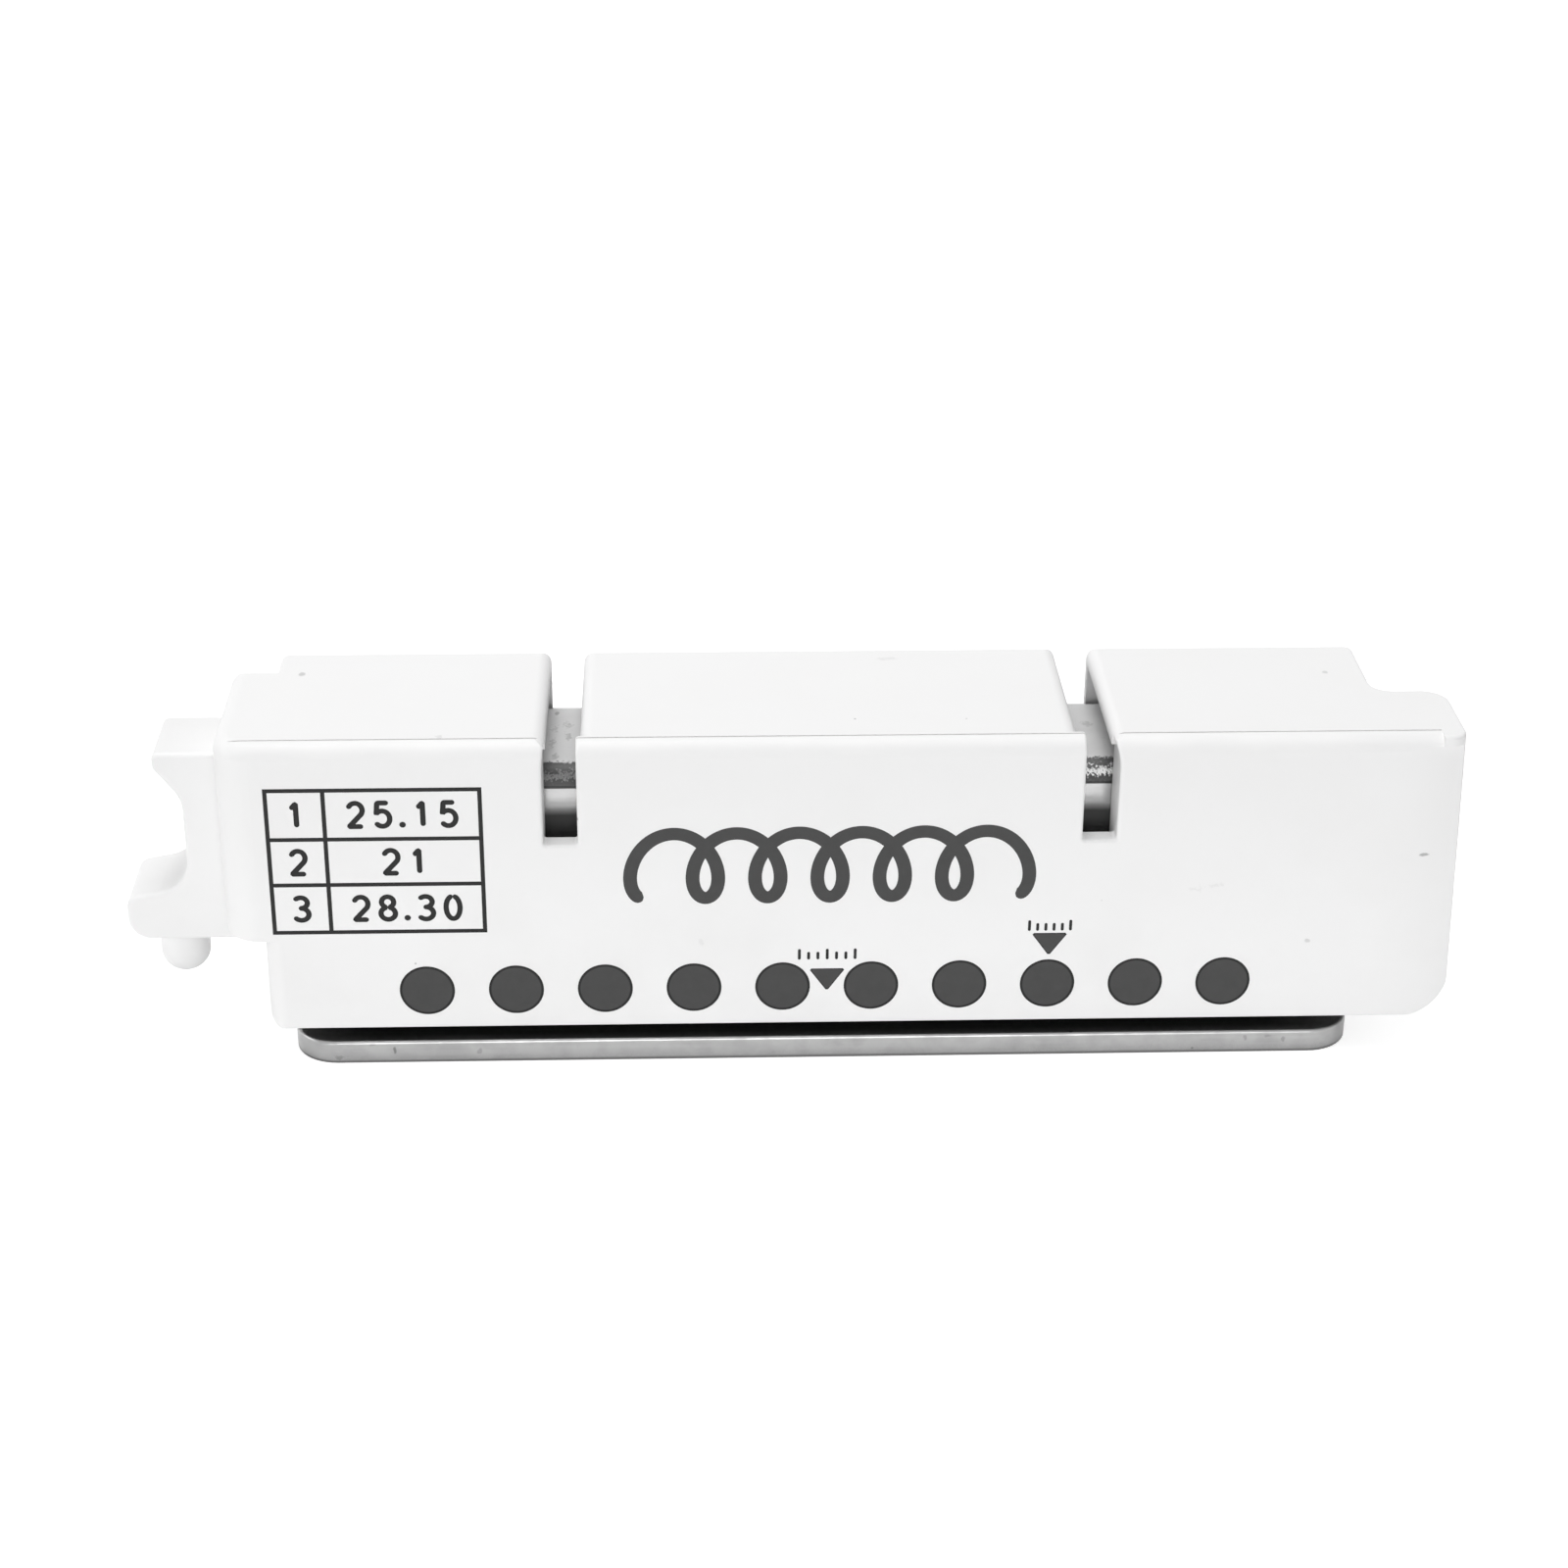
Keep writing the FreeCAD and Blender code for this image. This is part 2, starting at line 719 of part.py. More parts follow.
def front_slot(side, centre):
    """Slot through the front wall, whose outer side runs in to the deck slot's in an arc at the top."""
    y = casing_front - cut_margin
    inner = centre - side * slot_width / 2
    outer = centre + side * slot_width / 2
    deck_outer = side * (deck_slot_centre + slot_width / 2)
    shift = abs(outer - deck_outer)
    radius = (slot_flare_height ** 2 + shift ** 2) / (2 * shift)
    half_angle = math.asin(slot_flare_height / radius) / 2
    start = Vector(outer, y, casing_top - slot_flare_height)
    middle = start + Vector(-side * radius * (1 - math.cos(half_angle)), 0, radius * math.sin(half_angle))
    end = Vector(deck_outer, y, casing_top)
    over_outer = end + UP * cut_margin
    over_inner = Vector(inner, y, casing_top + cut_margin)
    low_inner = Vector(inner, y, slot_bottom)
    low_outer = Vector(outer, y, slot_bottom)
    edges = [arc(start, middle, end), straight(end, over_outer), straight(over_outer, over_inner),
             straight(over_inner, low_inner), straight(low_inner, low_outer), straight(low_outer, start)]
    return prism(Part.Wire(edges), Vector(0, wall + side_gap + cut_margin, 0))


def deck_slot(side):
    """Slot in the deck, which runs out through the back wall."""
    left = side * deck_slot_centre - slot_width / 2
    right = left + slot_width
    top = casing_top + cut_margin
    deck = box(left, right, casing_front + slot_jog_depth, casing_inner_back,
               deck_underside - seat_clearance, top)
    rear = box(left, right, casing_inner_back - cut_margin, deck_back + cut_margin,
               casing_bottom + rear_notch_height, top)
    return join(deck, [rear])


def deck_slot_rounders():
    """What rounds the deck along its slots: the outer sides from the front, the inner ones behind the jog."""
    rounders = []
    for side in (-1, 1):
        for way, start in ((side, casing_front - cut_margin), (-side, casing_front + slot_jog_depth)):
            x = side * deck_slot_centre + way * slot_width / 2
            section = edge_round_profile(x, start, Vector(-way, 0, 0), deck_slot_round)
            rounders.append(section.extrude(Vector(0, deck_back + cut_margin - start, 0)))
    return rounders


def slot_ribs():
    """Ribs inside the front wall, one on each side of each slot."""
    half = slot_width / 2
    back = -channel_front - slot_rib_gap
    front = casing_inner_front - seat_clearance
    low = slot_bottom - slot_rib_foot
    ribs = []
    for centre in (front_slot_left, front_slot_right):
        for inner in (centre - half - slot_rib, centre + half):
            ribs.append(box(inner, inner + slot_rib, front, back, low, deck_underside + seat_clearance))
    return ribs


def screw_bosses():
    """Bosses that take the casing screws, each tied to the nearest wall by a rib."""
    bosses = []
    for x, y in casing_screw_places():
        bosses.append(upright(boss_diameter, x, y, guide_top + rest_gap, boss_top))
        near, far = (casing_inner_front - rest_gap, y) if y < 0 else (y, casing_inner_back + rest_gap)
        bosses.append(box(x - boss_rib / 2, x + boss_rib / 2, near, far, guide_top + rest_gap, boss_top))
    return bosses


def rod_lugs():
    """Two lugs behind the left shoulder that hold the index rod."""
    left = -casing_left
    right = -shoulder_half_length + rest_gap
    front = left_shoulder_back - rest_gap
    lower = box(left, right, front, lug_back, notch_top, notch_top + lug_height)
    upper = box(left, right, front, lug_back, upper_lug_bottom, upper_lug_bottom + lug_height)
    return [lower, upper]


def rod_hole(clearance):
    """Bore along the index rod's axis."""
    low = notch_top + rod_bottom_cover
    high = upper_lug_bottom + lug_height + cut_margin
    return upright(rod_diameter + 2 * clearance, -rod_x, rod_behind, low, high)


def guide_plate_room():
    """Gap under the back wall where the guide plate passes."""
    half = guide_half_length + side_gap
    return box(-half, half, casing_inner_back - cut_margin, deck_back + cut_margin,
               casing_bottom - cut_margin, guide_top + rest_gap)


def parting_line():
    """Fine line along the deck, where its rounded front edge begins."""
    front = casing_front + top_front_round
    return box(-casing_left - cut_margin, casing_right_top - corner_lip, front, front + parting_line_width,
               casing_top - parting_line_depth, casing_top + cut_margin)


def front_slot_edges(body):
    """Edges of the slots on the front wall and over its rounded top."""
    found = []
    for edge in body.Edges:
        bounds = edge.BoundBox
        middle = (bounds.XMin + bounds.XMax) / 2
        offset = min(abs(middle - front_slot_left), abs(middle - front_slot_right))
        on_front = bounds.YMin < casing_front + plane_tolerance
        short = bounds.XLength < slot_width + plane_tolerance
        high = bounds.ZMin > slot_bottom - plane_tolerance
        if on_front and short and high and offset < slot_width:
            found.append(edge)
    return found


def make_casing():
    """White moulded shell with deck, front wall, shoulders, slots, ribs, bosses and rod lugs."""
    body = casing_block(casing_bottom, casing_top, 0, 0)
    rims = edges_at_height(body, casing_bottom) + edges_at_height(body, casing_top)
    body = body.makeFillet(casing_edge_round, rims)
    body = body.cut(top_edge_rounders() + right_end_cutters() + notch_cutters())
    body = body.cut([casing_hollow(), guide_plate_room()])
    body = join(body, slot_ribs() + screw_bosses() + rod_lugs())
    slots = [front_slot(-1, front_slot_left), front_slot(1, front_slot_right), deck_slot(-1), deck_slot(1)]
    body = body.cut(slots + casing_screw_holes() + [rod_hole(seat_clearance)])
    body = body.cut(deck_slot_rounders())
    body = body.makeFillet(slot_edge_round, front_slot_edges(body))
    return body.cut(parting_line())


def channel_profile():
    """Section of the press channel: a top flange and a front flange with a round bend between."""
    x = -channel_half_length
    front = -channel_front
    low = channel_top - channel_flange_depth
    inner = channel_bend - channel_sheet
    return rounded_wire([
        (Vector(x, front, low), channel_edge_round),
        (Vector(x, front + channel_sheet, low), channel_edge_round),
        (Vector(x, front + channel_sheet, channel_underside), inner),
        (Vector(x, channel_rear, channel_underside), channel_edge_round),
        (Vector(x, channel_rear, channel_top), channel_edge_round),
        (Vector(x, front, channel_top), channel_bend),
    ])


def make_press_channel():
    """Bent steel that the press fingers push down."""
    body = prism(channel_profile(), Vector(2 * channel_half_length, 0, 0))
    cutters = comb_screw_holes()
    for x in post_xs():
        cutters.append(upright(bush_sleeve_diameter + 2 * seat_clearance, x, -post_ahead,
                               channel_underside - cut_margin, channel_top + cut_margin))
    return body.cut(cutters)


def comb_screw_places():
    """Places of the comb screws, ahead of the gaps between punches."""
    return [(side * steps * hole_pitch, -comb_screw_ahead) for steps in comb_screw_steps for side in (-1, 1)]


def comb_screw_holes():
    """Holes for the comb screws in the channel and the comb."""
    return [
        screw_hole(comb_screw_shank, comb_screw_head, comb_screw_head_height, x, y, channel_top, -1,
                   channel_top - comb_bottom + cut_margin)
        for x, y in comb_screw_places()
    ]


def make_comb_screws():
    """Screws from the channel's top down into the comb."""
    return Part.Compound([
        screw(comb_screw_shank, comb_screw_head, comb_screw_head_height, x, y, channel_top, -1,
              channel_top - comb_bottom)
        for x, y in comb_screw_places()
    ])


def make_comb_spacers():
    """Sleeves that hold the comb a punch head's height under the channel."""
    bore = comb_screw_shank + 2 * seat_clearance
    return Part.Compound([
        upright(sleeve_diameter, x, y, comb_top, channel_underside)
        .cut(upright(bore, x, y, comb_top - cut_margin, channel_underside + cut_margin))
        for x, y in comb_screw_places()
    ])


def make_punch_comb():
    """Slotted plate whose fingers lie in the necks of the punches."""
    half = hole_end_x + neck_diameter / 2 + running_clearance + comb_end_land
    front = -channel_front + channel_sheet + comb_front_gap
    body = box(-half, half, front, comb_rear, comb_bottom, comb_top)
    slot = neck_diameter + 2 * running_clearance
    cutters = comb_screw_holes()
    for x in hole_xs:
        cutters.append(upright(slot, x, 0, comb_bottom - cut_margin, comb_top + cut_margin))
        cutters.append(box(x - slot / 2, x + slot / 2, 0, comb_rear + cut_margin, comb_bottom - cut_margin,
                           comb_top + cut_margin))
    return body.cut(cutters)


def make_punch_pin(number):
    """One round punch: notched tip, shank, neck for the comb and flat head."""
    x = hole_xs[number]
    tip = gap_top + tip_above_guide_face + (number % 2) * tip_stagger
    neck_top = comb_top
    neck_bottom = neck_top - comb_sheet - neck_play
    body = join(upright(punch_diameter, x, 0, tip, neck_bottom), [
        upright(neck_diameter, x, 0, neck_bottom, neck_top),
        upright(punch_diameter, x, 0, neck_top, channel_underside),
    ])
    axis_z = tip + tip_notch_depth - tip_notch_radius
    hollow = Part.makeCylinder(tip_notch_radius, 2 * punch_diameter, Vector(x, -punch_diameter, axis_z),
                               Vector(0, 1, 0))
    return body.cut(hollow)


def post_xs():
    """Places of the guide posts, left then right."""
    return [-post_x, post_x]


def post_hole(x):
    """Riveting hole of a guide post in the guide plate."""
    ease = 2 * seat_clearance
    hole = upright(post_foot_diameter + ease, x, -post_ahead, gap_top - cut_margin, guide_top + cut_margin)
    return hole.fuse(taper(post_foot_head + ease, post_foot_diameter + ease, x, -post_ahead, gap_top,
                           gap_top + post_foot_head_height))


def make_guide_post(x):
    """Post riveted into the guide plate, with a groove for its clip."""
    post = join(upright(post_diameter, x, -post_ahead, guide_top, post_top), [
        upright(post_foot_diameter, x, -post_ahead, gap_top, guide_top),
        taper(post_foot_head, post_foot_diameter, x, -post_ahead, gap_top, gap_top + post_foot_head_height),
    ])
    groove_low = clip_bottom - seat_clearance
    groove_high = clip_bottom + clip_thickness + seat_clearance
    ring = upright(post_diameter + cut_margin, x, -post_ahead, groove_low, groove_high)
    core = upright(post_diameter - 2 * clip_groove_depth, x, -post_ahead, groove_low, groove_high)
    return post.cut(ring.cut(core))


def make_post_clips():
    """Open clips in the grooves of the posts, the upper stop of the press channel."""
    top = clip_bottom + clip_thickness
    bore = post_diameter - 2 * clip_groove_depth + 2 * seat_clearance
    clips = []
    for x in post_xs():
        ring = upright(clip_diameter, x, -post_ahead, clip_bottom, top)
        hole = upright(bore, x, -post_ahead, clip_bottom - cut_margin, top + cut_margin)
        mouth = box(x - clip_mouth / 2, x + clip_mouth / 2, -post_ahead - clip_diameter, -post_ahead,
                    clip_bottom - cut_margin, top + cut_margin)
        clips.append(ring.cut([hole, mouth]))
    return Part.Compound(clips)


def make_press_bush(x):
    """Flanged bush in the channel, which runs on a post and carries the spring."""
    body = join(upright(bush_flange_diameter, x, -post_ahead, bush_bottom, channel_underside), [
        upright(bush_sleeve_diameter, x, -post_ahead, channel_underside, channel_top),
    ])
    bore = post_diameter + 2 * running_clearance
    return body.cut(upright(bore, x, -post_ahead, bush_bottom - cut_margin, channel_top + cut_margin))


def make_return_spring(name, x):
    """Spring round a post, between guide plate and bush."""
    return spring(name, return_wire, return_coil_diameter, return_turns, x, -post_ahead, guide_top,
                  bush_bottom)


def arm_outline():
    """Front view of the index arm: two fins with a hollow for a finger between them."""
    y = -arm_front
    low = arm_bottom
    high = arm_top
    lower_tip = arm_inner_x - lower_fin_reach
    upper_tip = arm_inner_x - upper_fin_reach
    fin_top = low + lower_fin_top
    return rounded_wire([
        (Vector(arm_inner_x, y, low), arm_edge_round),
        (Vector(lower_tip, y, low), lower_fin_nose),
        (Vector(lower_tip, y, fin_top), lower_fin_tip_round),
        (Vector(arm_web_x, y, fin_root), fin_fillet),
        (Vector(arm_web_x, y, sweep_end), fin_fillet),
        (Vector(upper_tip, y, high - upper_fin_edge), upper_fin_round),
        (Vector(upper_tip, y, high), upper_fin_round),
        (Vector(arm_inner_x, y, high), arm_edge_round),
    ])


def make_index_peg():
    """Round-tipped peg that drops into a hole already punched."""
    peg = upright(peg_diameter, index_peg_x, 0, peg_tip, arm_bottom + rest_gap)
    return peg.makeFillet(peg_tip_round, edges_at_height(peg, peg_tip))


def make_index_arm():
    """White arm with its tongue on the rod and its peg, three holes away from the first punch."""
    arm = prism(arm_outline(), Vector(0, arm_front + arm_back, 0))
    face_edges = [edge for edge in arm.Edges if edge.BoundBox.YLength < seat_clearance]
    arm = arm.makeFillet(arm_face_round, face_edges)
    tongue = box(arm_inner_x - cut_margin, -shoulder_half_length - tongue_gap, left_shoulder_back + arm_gap,
                 arm_back, tongue_bottom, tongue_top)
    return join(arm, [tongue, make_index_peg()]).cut(rod_hole(running_clearance))


def make_index_rod():
    """Rod that the index arm slides on, held in the casing's two lugs."""
    return upright(rod_diameter, -rod_x, rod_behind, notch_top + rod_bottom_cover + rest_gap,
                   upper_lug_bottom + lug_height)


def make_index_spring():
    """Spring that pushes the index arm down."""
    return spring("index_spring", index_wire, index_coil_diameter, index_turns, -rod_x, rod_behind,
                  tongue_top, upper_lug_bottom)


def main():
    """Writes one file for each piece, or for each set of identical fasteners."""
    os.makedirs("parts", exist_ok=True)
    pieces = {
        "die_plate": make_die_plate(),
        "gap_spacer": make_gap_spacer(),
        "guide_plate": make_guide_plate(),
        "guide_bridge": make_guide_bridge(),
        "bridge_rivets": Part.Compound([make_rivet(x) for x in rivet_xs()]),
        "frame_screws": make_frame_screws(),
        "dowel_pins": make_dowel_pins(),
        "casing": make_casing(),
        "casing_screws": make_casing_screws(),
        "post_clips": make_post_clips(),
        "press_channel": make_press_channel(),
        "punch_comb": make_punch_comb(),
        "comb_spacers": make_comb_spacers(),
        "comb_screws": make_comb_screws(),
        "index_arm": make_index_arm(),
        "index_rod": make_index_rod(),
        "index_spring": make_index_spring(),
    }
    for side, x in zip(("left", "right"), post_xs()):
        pieces["guide_post_" + side] = make_guide_post(x)
        pieces["press_bush_" + side] = make_press_bush(x)
        pieces["return_spring_" + side] = make_return_spring("return_spring_" + side, x)
    for number in range(hole_count):
        pieces[f"punch_pin_{number + 1:02d}"] = make_punch_pin(number)
    for name, shape in pieces.items():
        shape.exportStep(os.path.join("parts", name + ".step"))


main()
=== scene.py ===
import logging
import math
from dataclasses import dataclass, field
from enum import Enum
from typing import Any, Iterable

import bpy
import numpy as np
from mathutils import Matrix, Vector


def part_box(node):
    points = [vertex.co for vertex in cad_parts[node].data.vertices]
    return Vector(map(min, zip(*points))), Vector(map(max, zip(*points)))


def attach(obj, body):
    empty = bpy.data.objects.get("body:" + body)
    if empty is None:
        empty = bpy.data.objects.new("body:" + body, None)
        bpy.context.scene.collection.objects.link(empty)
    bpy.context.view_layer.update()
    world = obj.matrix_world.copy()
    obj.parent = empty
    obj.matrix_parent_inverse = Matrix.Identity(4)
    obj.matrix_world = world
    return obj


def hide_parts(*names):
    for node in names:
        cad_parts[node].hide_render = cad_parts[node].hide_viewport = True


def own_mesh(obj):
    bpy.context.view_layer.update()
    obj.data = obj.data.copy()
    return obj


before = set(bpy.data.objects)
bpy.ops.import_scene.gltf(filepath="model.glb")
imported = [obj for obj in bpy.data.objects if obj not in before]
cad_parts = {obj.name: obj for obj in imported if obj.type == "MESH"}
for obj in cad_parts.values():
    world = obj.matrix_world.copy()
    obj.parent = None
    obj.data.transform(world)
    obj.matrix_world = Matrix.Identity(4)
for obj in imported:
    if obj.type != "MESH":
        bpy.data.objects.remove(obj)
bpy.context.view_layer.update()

# A punching head for coil binding: the looks of every piece, the print on its front and its wound springs.
# Sizes are in millimetres and are turned into metres where a mesh, a material or a lamp takes them.
MM = 0.001
FRAME_BODY = "frame"
PUNCH_PINS = tuple(f"punch_pin_{number:02d}" for number in range(1, 11))
LOG = logging.getLogger("binding_punch")

# Nearly all of a noise lies between the two ends of NOISE_CUT, and a blemish shows in full from the upper end
# of MARK_CUT on.
NOISE_CUT = (0.3, 0.7)
MARK_CUT = (0.0, 0.4)

Pair = tuple[float, float]
Place = tuple[float, float, float]
Colour = tuple[float, float, float, float]
Socket = bpy.types.NodeSocket
Material = bpy.types.Material


class Facing(Enum):
    """How the surface of a mesh is shaded."""

    FLAT = False
    SMOOTH = True


class End(Enum):
    """The end of a spring that stands still."""

    BOTTOM = 0
    TOP = 1


def grey(level: float, warmth: float = 0.0) -> Colour:
    """A nearly neutral colour, with red raised and blue lowered by warmth."""
    return (level * (1 + warmth), level, level * (1 - warmth), 1.0)


def box_mm(node: str) -> tuple[np.ndarray, np.ndarray]:
    """The corners of a CAD node at rest, in millimetres.

    Args:
        node: The node's name.

    Returns:
        The lowest and the highest corner.
    """
    low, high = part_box(node)
    return np.array(low) / MM, np.array(high) / MM


def middle_x(node: str) -> float:
    """The X of a CAD node's middle, in millimetres."""
    low, high = box_mm(node)
    return float(low[0] + high[0]) / 2


def grid_faces(rows: int, columns: int, closed: bool) -> np.ndarray:
    """Quads of a grid of points whose columns run round a closed loop.

    Each quad joins a point, its neighbour round the loop and the same two points of the next row.

    Args:
        rows: How many loops there are.
        columns: How many points each loop has.
        closed: Whether the last loop joins on to the first.

    Returns:
        One row of four point numbers for each quad.
    """
    row = np.arange(rows if closed else rows - 1)[:, None]
    column = np.arange(columns)[None, :]
    ahead = (column + 1) % columns
    below = (row + 1) % rows
    corners = np.stack([row * columns + column, row * columns + ahead, below * columns + ahead,
                        below * columns + column], axis=-1)
    return corners.reshape(-1, 4)


def enclosed_volume(points: np.ndarray, faces: Iterable[np.ndarray]) -> float:
    """Volume inside a closed mesh, which is negative where its faces point inwards.

    It is a sixth of the sum of a . (b x c) over the triangles a, b, c that the faces split into.

    Args:
        points: The mesh's points.
        faces: Arrays of faces, each with its own number of corners.

    Returns:
        The signed volume.
    """
    total = 0.0
    for group in faces:
        for turn in range(1, group.shape[1] - 1):
            first, second, third = points[group[:, 0]], points[group[:, turn]], points[group[:, turn + 1]]
            total += float(np.einsum("ij,ij->", first, np.cross(second, third))) / 6
    return total


@dataclass
class Shape:
    """A closed mesh in millimetres, before it becomes an object.

    Args:
        points: One row of three numbers for each point.
        faces: Arrays of faces, each with its own number of corners.
        rim: How near to the outline each point lies, from 0 to 1.
    """

    points: np.ndarray
    faces: list[np.ndarray]
    rim: np.ndarray | None = None

    def outward(self) -> "Shape":
        """The same shape with its faces turned outwards."""
        if enclosed_volume(self.points, self.faces) < 0:
            self.faces = [group[:, ::-1] for group in self.faces]
        return self

    @staticmethod
    def joined(shapes: list["Shape"]) -> "Shape":
        """Several shapes in one mesh, each still closed by itself.

        Args:
            shapes: The shapes to put together.

        Returns:
            One shape that holds them all.
        """
        starts = np.cumsum([0] + [len(shape.points) for shape in shapes[:-1]])
        faces = [group + start for shape, start in zip(shapes, starts) for group in shape.faces]
        rims = [shape.rim if shape.rim is not None else np.zeros(len(shape.points)) for shape in shapes]
        return Shape(np.concatenate([shape.points for shape in shapes]), faces, np.concatenate(rims))

    def to_object(self, name: str, material: Material, facing: Facing) -> bpy.types.Object:
        """Makes the object, with its place in its mesh, and lets it ride on the frame.

        Args:
            name: The piece's name.
            material: What it is dressed in.
            facing: Flat or smooth shading.

        Returns:
            The new object.
        """
        mesh = bpy.data.meshes.new(name)
        corners = [face for group in self.faces for face in group.tolist()]
        mesh.from_pydata((self.points * MM).tolist(), [], corners)
        if self.rim is not None:
            layer = mesh.attributes.new("rim", "FLOAT", "POINT")
            layer.data.foreach_set("value", self.rim.astype(np.float32))
        mesh.polygons.foreach_set("use_smooth", np.full(len(mesh.polygons), facing.value))
        mesh.materials.append(material)
        mesh.update()
        piece = bpy.data.objects.new(name, mesh)
        bpy.context.scene.collection.objects.link(piece)
        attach(piece, FRAME_BODY)
        LOG.info("%s: %d points on the %s", name, len(self.points), FRAME_BODY)
        return piece


class Graph:
    """A node tree under construction."""

    def __init__(self, tree: bpy.types.NodeTree) -> None:
        """Takes a tree over and empties it."""
        self.tree = tree
        tree.nodes.clear()

    def add(self, kind: str, sockets: dict[Any, Any] | None = None, **settings: Any) -> bpy.types.Node:
        """Adds one node.

        Args:
            kind: The node's type.
            sockets: Values or output sockets for its inputs, by name or number.
            settings: Its properties.

        Returns:
            The new node.
        """
        node = self.tree.nodes.new(kind)
        for name, value in settings.items():
            setattr(node, name, value)
        for name, value in (sockets or {}).items():
            if isinstance(value, Socket):
                self.tree.links.new(value, node.inputs[name])
            else:
                node.inputs[name].default_value = value
        return node

    def math(self, operation: str, *values: Any, clamp: bool = False) -> Socket:
        """The result of one sum, product or comparison."""
        sockets = dict(enumerate(values))
        return self.add("ShaderNodeMath", sockets, operation=operation, use_clamp=clamp).outputs[0]

    def inverse(self, value: Any) -> Socket:
        """What a value leaves of 1."""
        return self.math("SUBTRACT", 1.0, value, clamp=True)

    def vector(self, operation: str, *values: Any) -> Socket:
        """The result of one sum or product of vectors, or the length of one."""
        outputs = self.add("ShaderNodeVectorMath", dict(enumerate(values)), operation=operation).outputs
        return outputs["Value" if operation in ("LENGTH", "DOT_PRODUCT") else "Vector"]

    def place(self, source: str = "Object") -> Socket:
        """Where a point lies in the object's own axes, or with Normal as the source, which way it faces."""
        return self.add("ShaderNodeTexCoord").outputs[source]

    def axes(self, source: str = "Object") -> Any:
        """The X, Y and Z of that place or normal."""
        return self.add("ShaderNodeSeparateXYZ", {0: self.place(source)}).outputs

    def blend(self, share: Any, low: Any, high: Any) -> Socket:
        """A colour between two others."""
        mix = self.add("ShaderNodeMix", {"Factor": share}, data_type="RGBA")
        for socket, value in zip([s for s in mix.inputs if s.type == "RGBA"], (low, high)):
            if isinstance(value, Socket):
                self.tree.links.new(value, socket)
            else:
                socket.default_value = value
        return next(socket for socket in mix.outputs if socket.type == "RGBA")

    def span(self, value: Any, low: Any, high: Any, to_low: float, to_high: float) -> Socket:
        """A value taken from one range to another and held inside it."""
        sockets = {"Value": value, "From Min": low, "From Max": high, "To Min": to_low, "To Max": to_high}
        return self.add("ShaderNodeMapRange", sockets, clamp=True).outputs["Result"]

    def rise(self, value: Any, cut: Pair, share: float = 1.0) -> Socket:
        """A mask that rises from nought to its share while a value crosses the cut."""
        return self.span(value, *cut, 0.0, share)

    def swing(self, noise: Socket, middle: float, reach: float) -> Socket:
        """A value that a noise moves to both sides of its middle, by the reach at most."""
        return self.span(noise, *NOISE_CUT, middle - reach, middle + reach)

    def ramp(self, value: Any, stops: tuple[Pair, ...]) -> Socket:
        """A grey that goes through the stops, each of them a value and its level."""
        node = self.add("ShaderNodeValToRGB", {0: value})
        elements = node.color_ramp.elements
        for element, (position, level) in zip(elements, (stops[0], stops[-1])):
            element.position, element.color = position, grey(level)
        for position, level in stops[1:-1]:
            elements.new(position).color = grey(level)
        return node.outputs[0]


class Effect:
    """A shader node group that several finishes share."""

    def __init__(self, name: str, inputs: dict[str, Any], output: str) -> None:
        """Makes the group's sockets.

        Args:
            name: The group's name.
            inputs: Each input's name and first value.
            output: The name of its one output, a number.
        """
        self.tree = bpy.data.node_groups.new(name, "ShaderNodeTree")
        for label, value in inputs.items():
            kind = "NodeSocketVector" if isinstance(value, tuple) else "NodeSocketFloat"
            socket = self.tree.interface.new_socket(label, in_out="INPUT", socket_type=kind)
            socket.default_value = value
        self.tree.interface.new_socket(output, in_out="OUTPUT", socket_type="NodeSocketFloat")
        self.graph = Graph(self.tree)
        self.entry = self.graph.add("NodeGroupInput").outputs
        self.output = output

    def give(self, value: Socket) -> "Effect":
        """Joins the group's result to its output."""
        self.graph.add("NodeGroupOutput", {self.output: value})
        return self

    def place(self, graph: Graph, **inputs: Any) -> Socket:
        """Puts the group into a material.

        Args:
            graph: The material's graph.
            inputs: Values for the group's inputs.

        Returns:
            The group's result there.
        """
        node = graph.add("ShaderNodeGroup", node_tree=self.tree)
        for label, value in inputs.items():
            node.inputs[label].default_value = value
        return node.outputs[self.output]


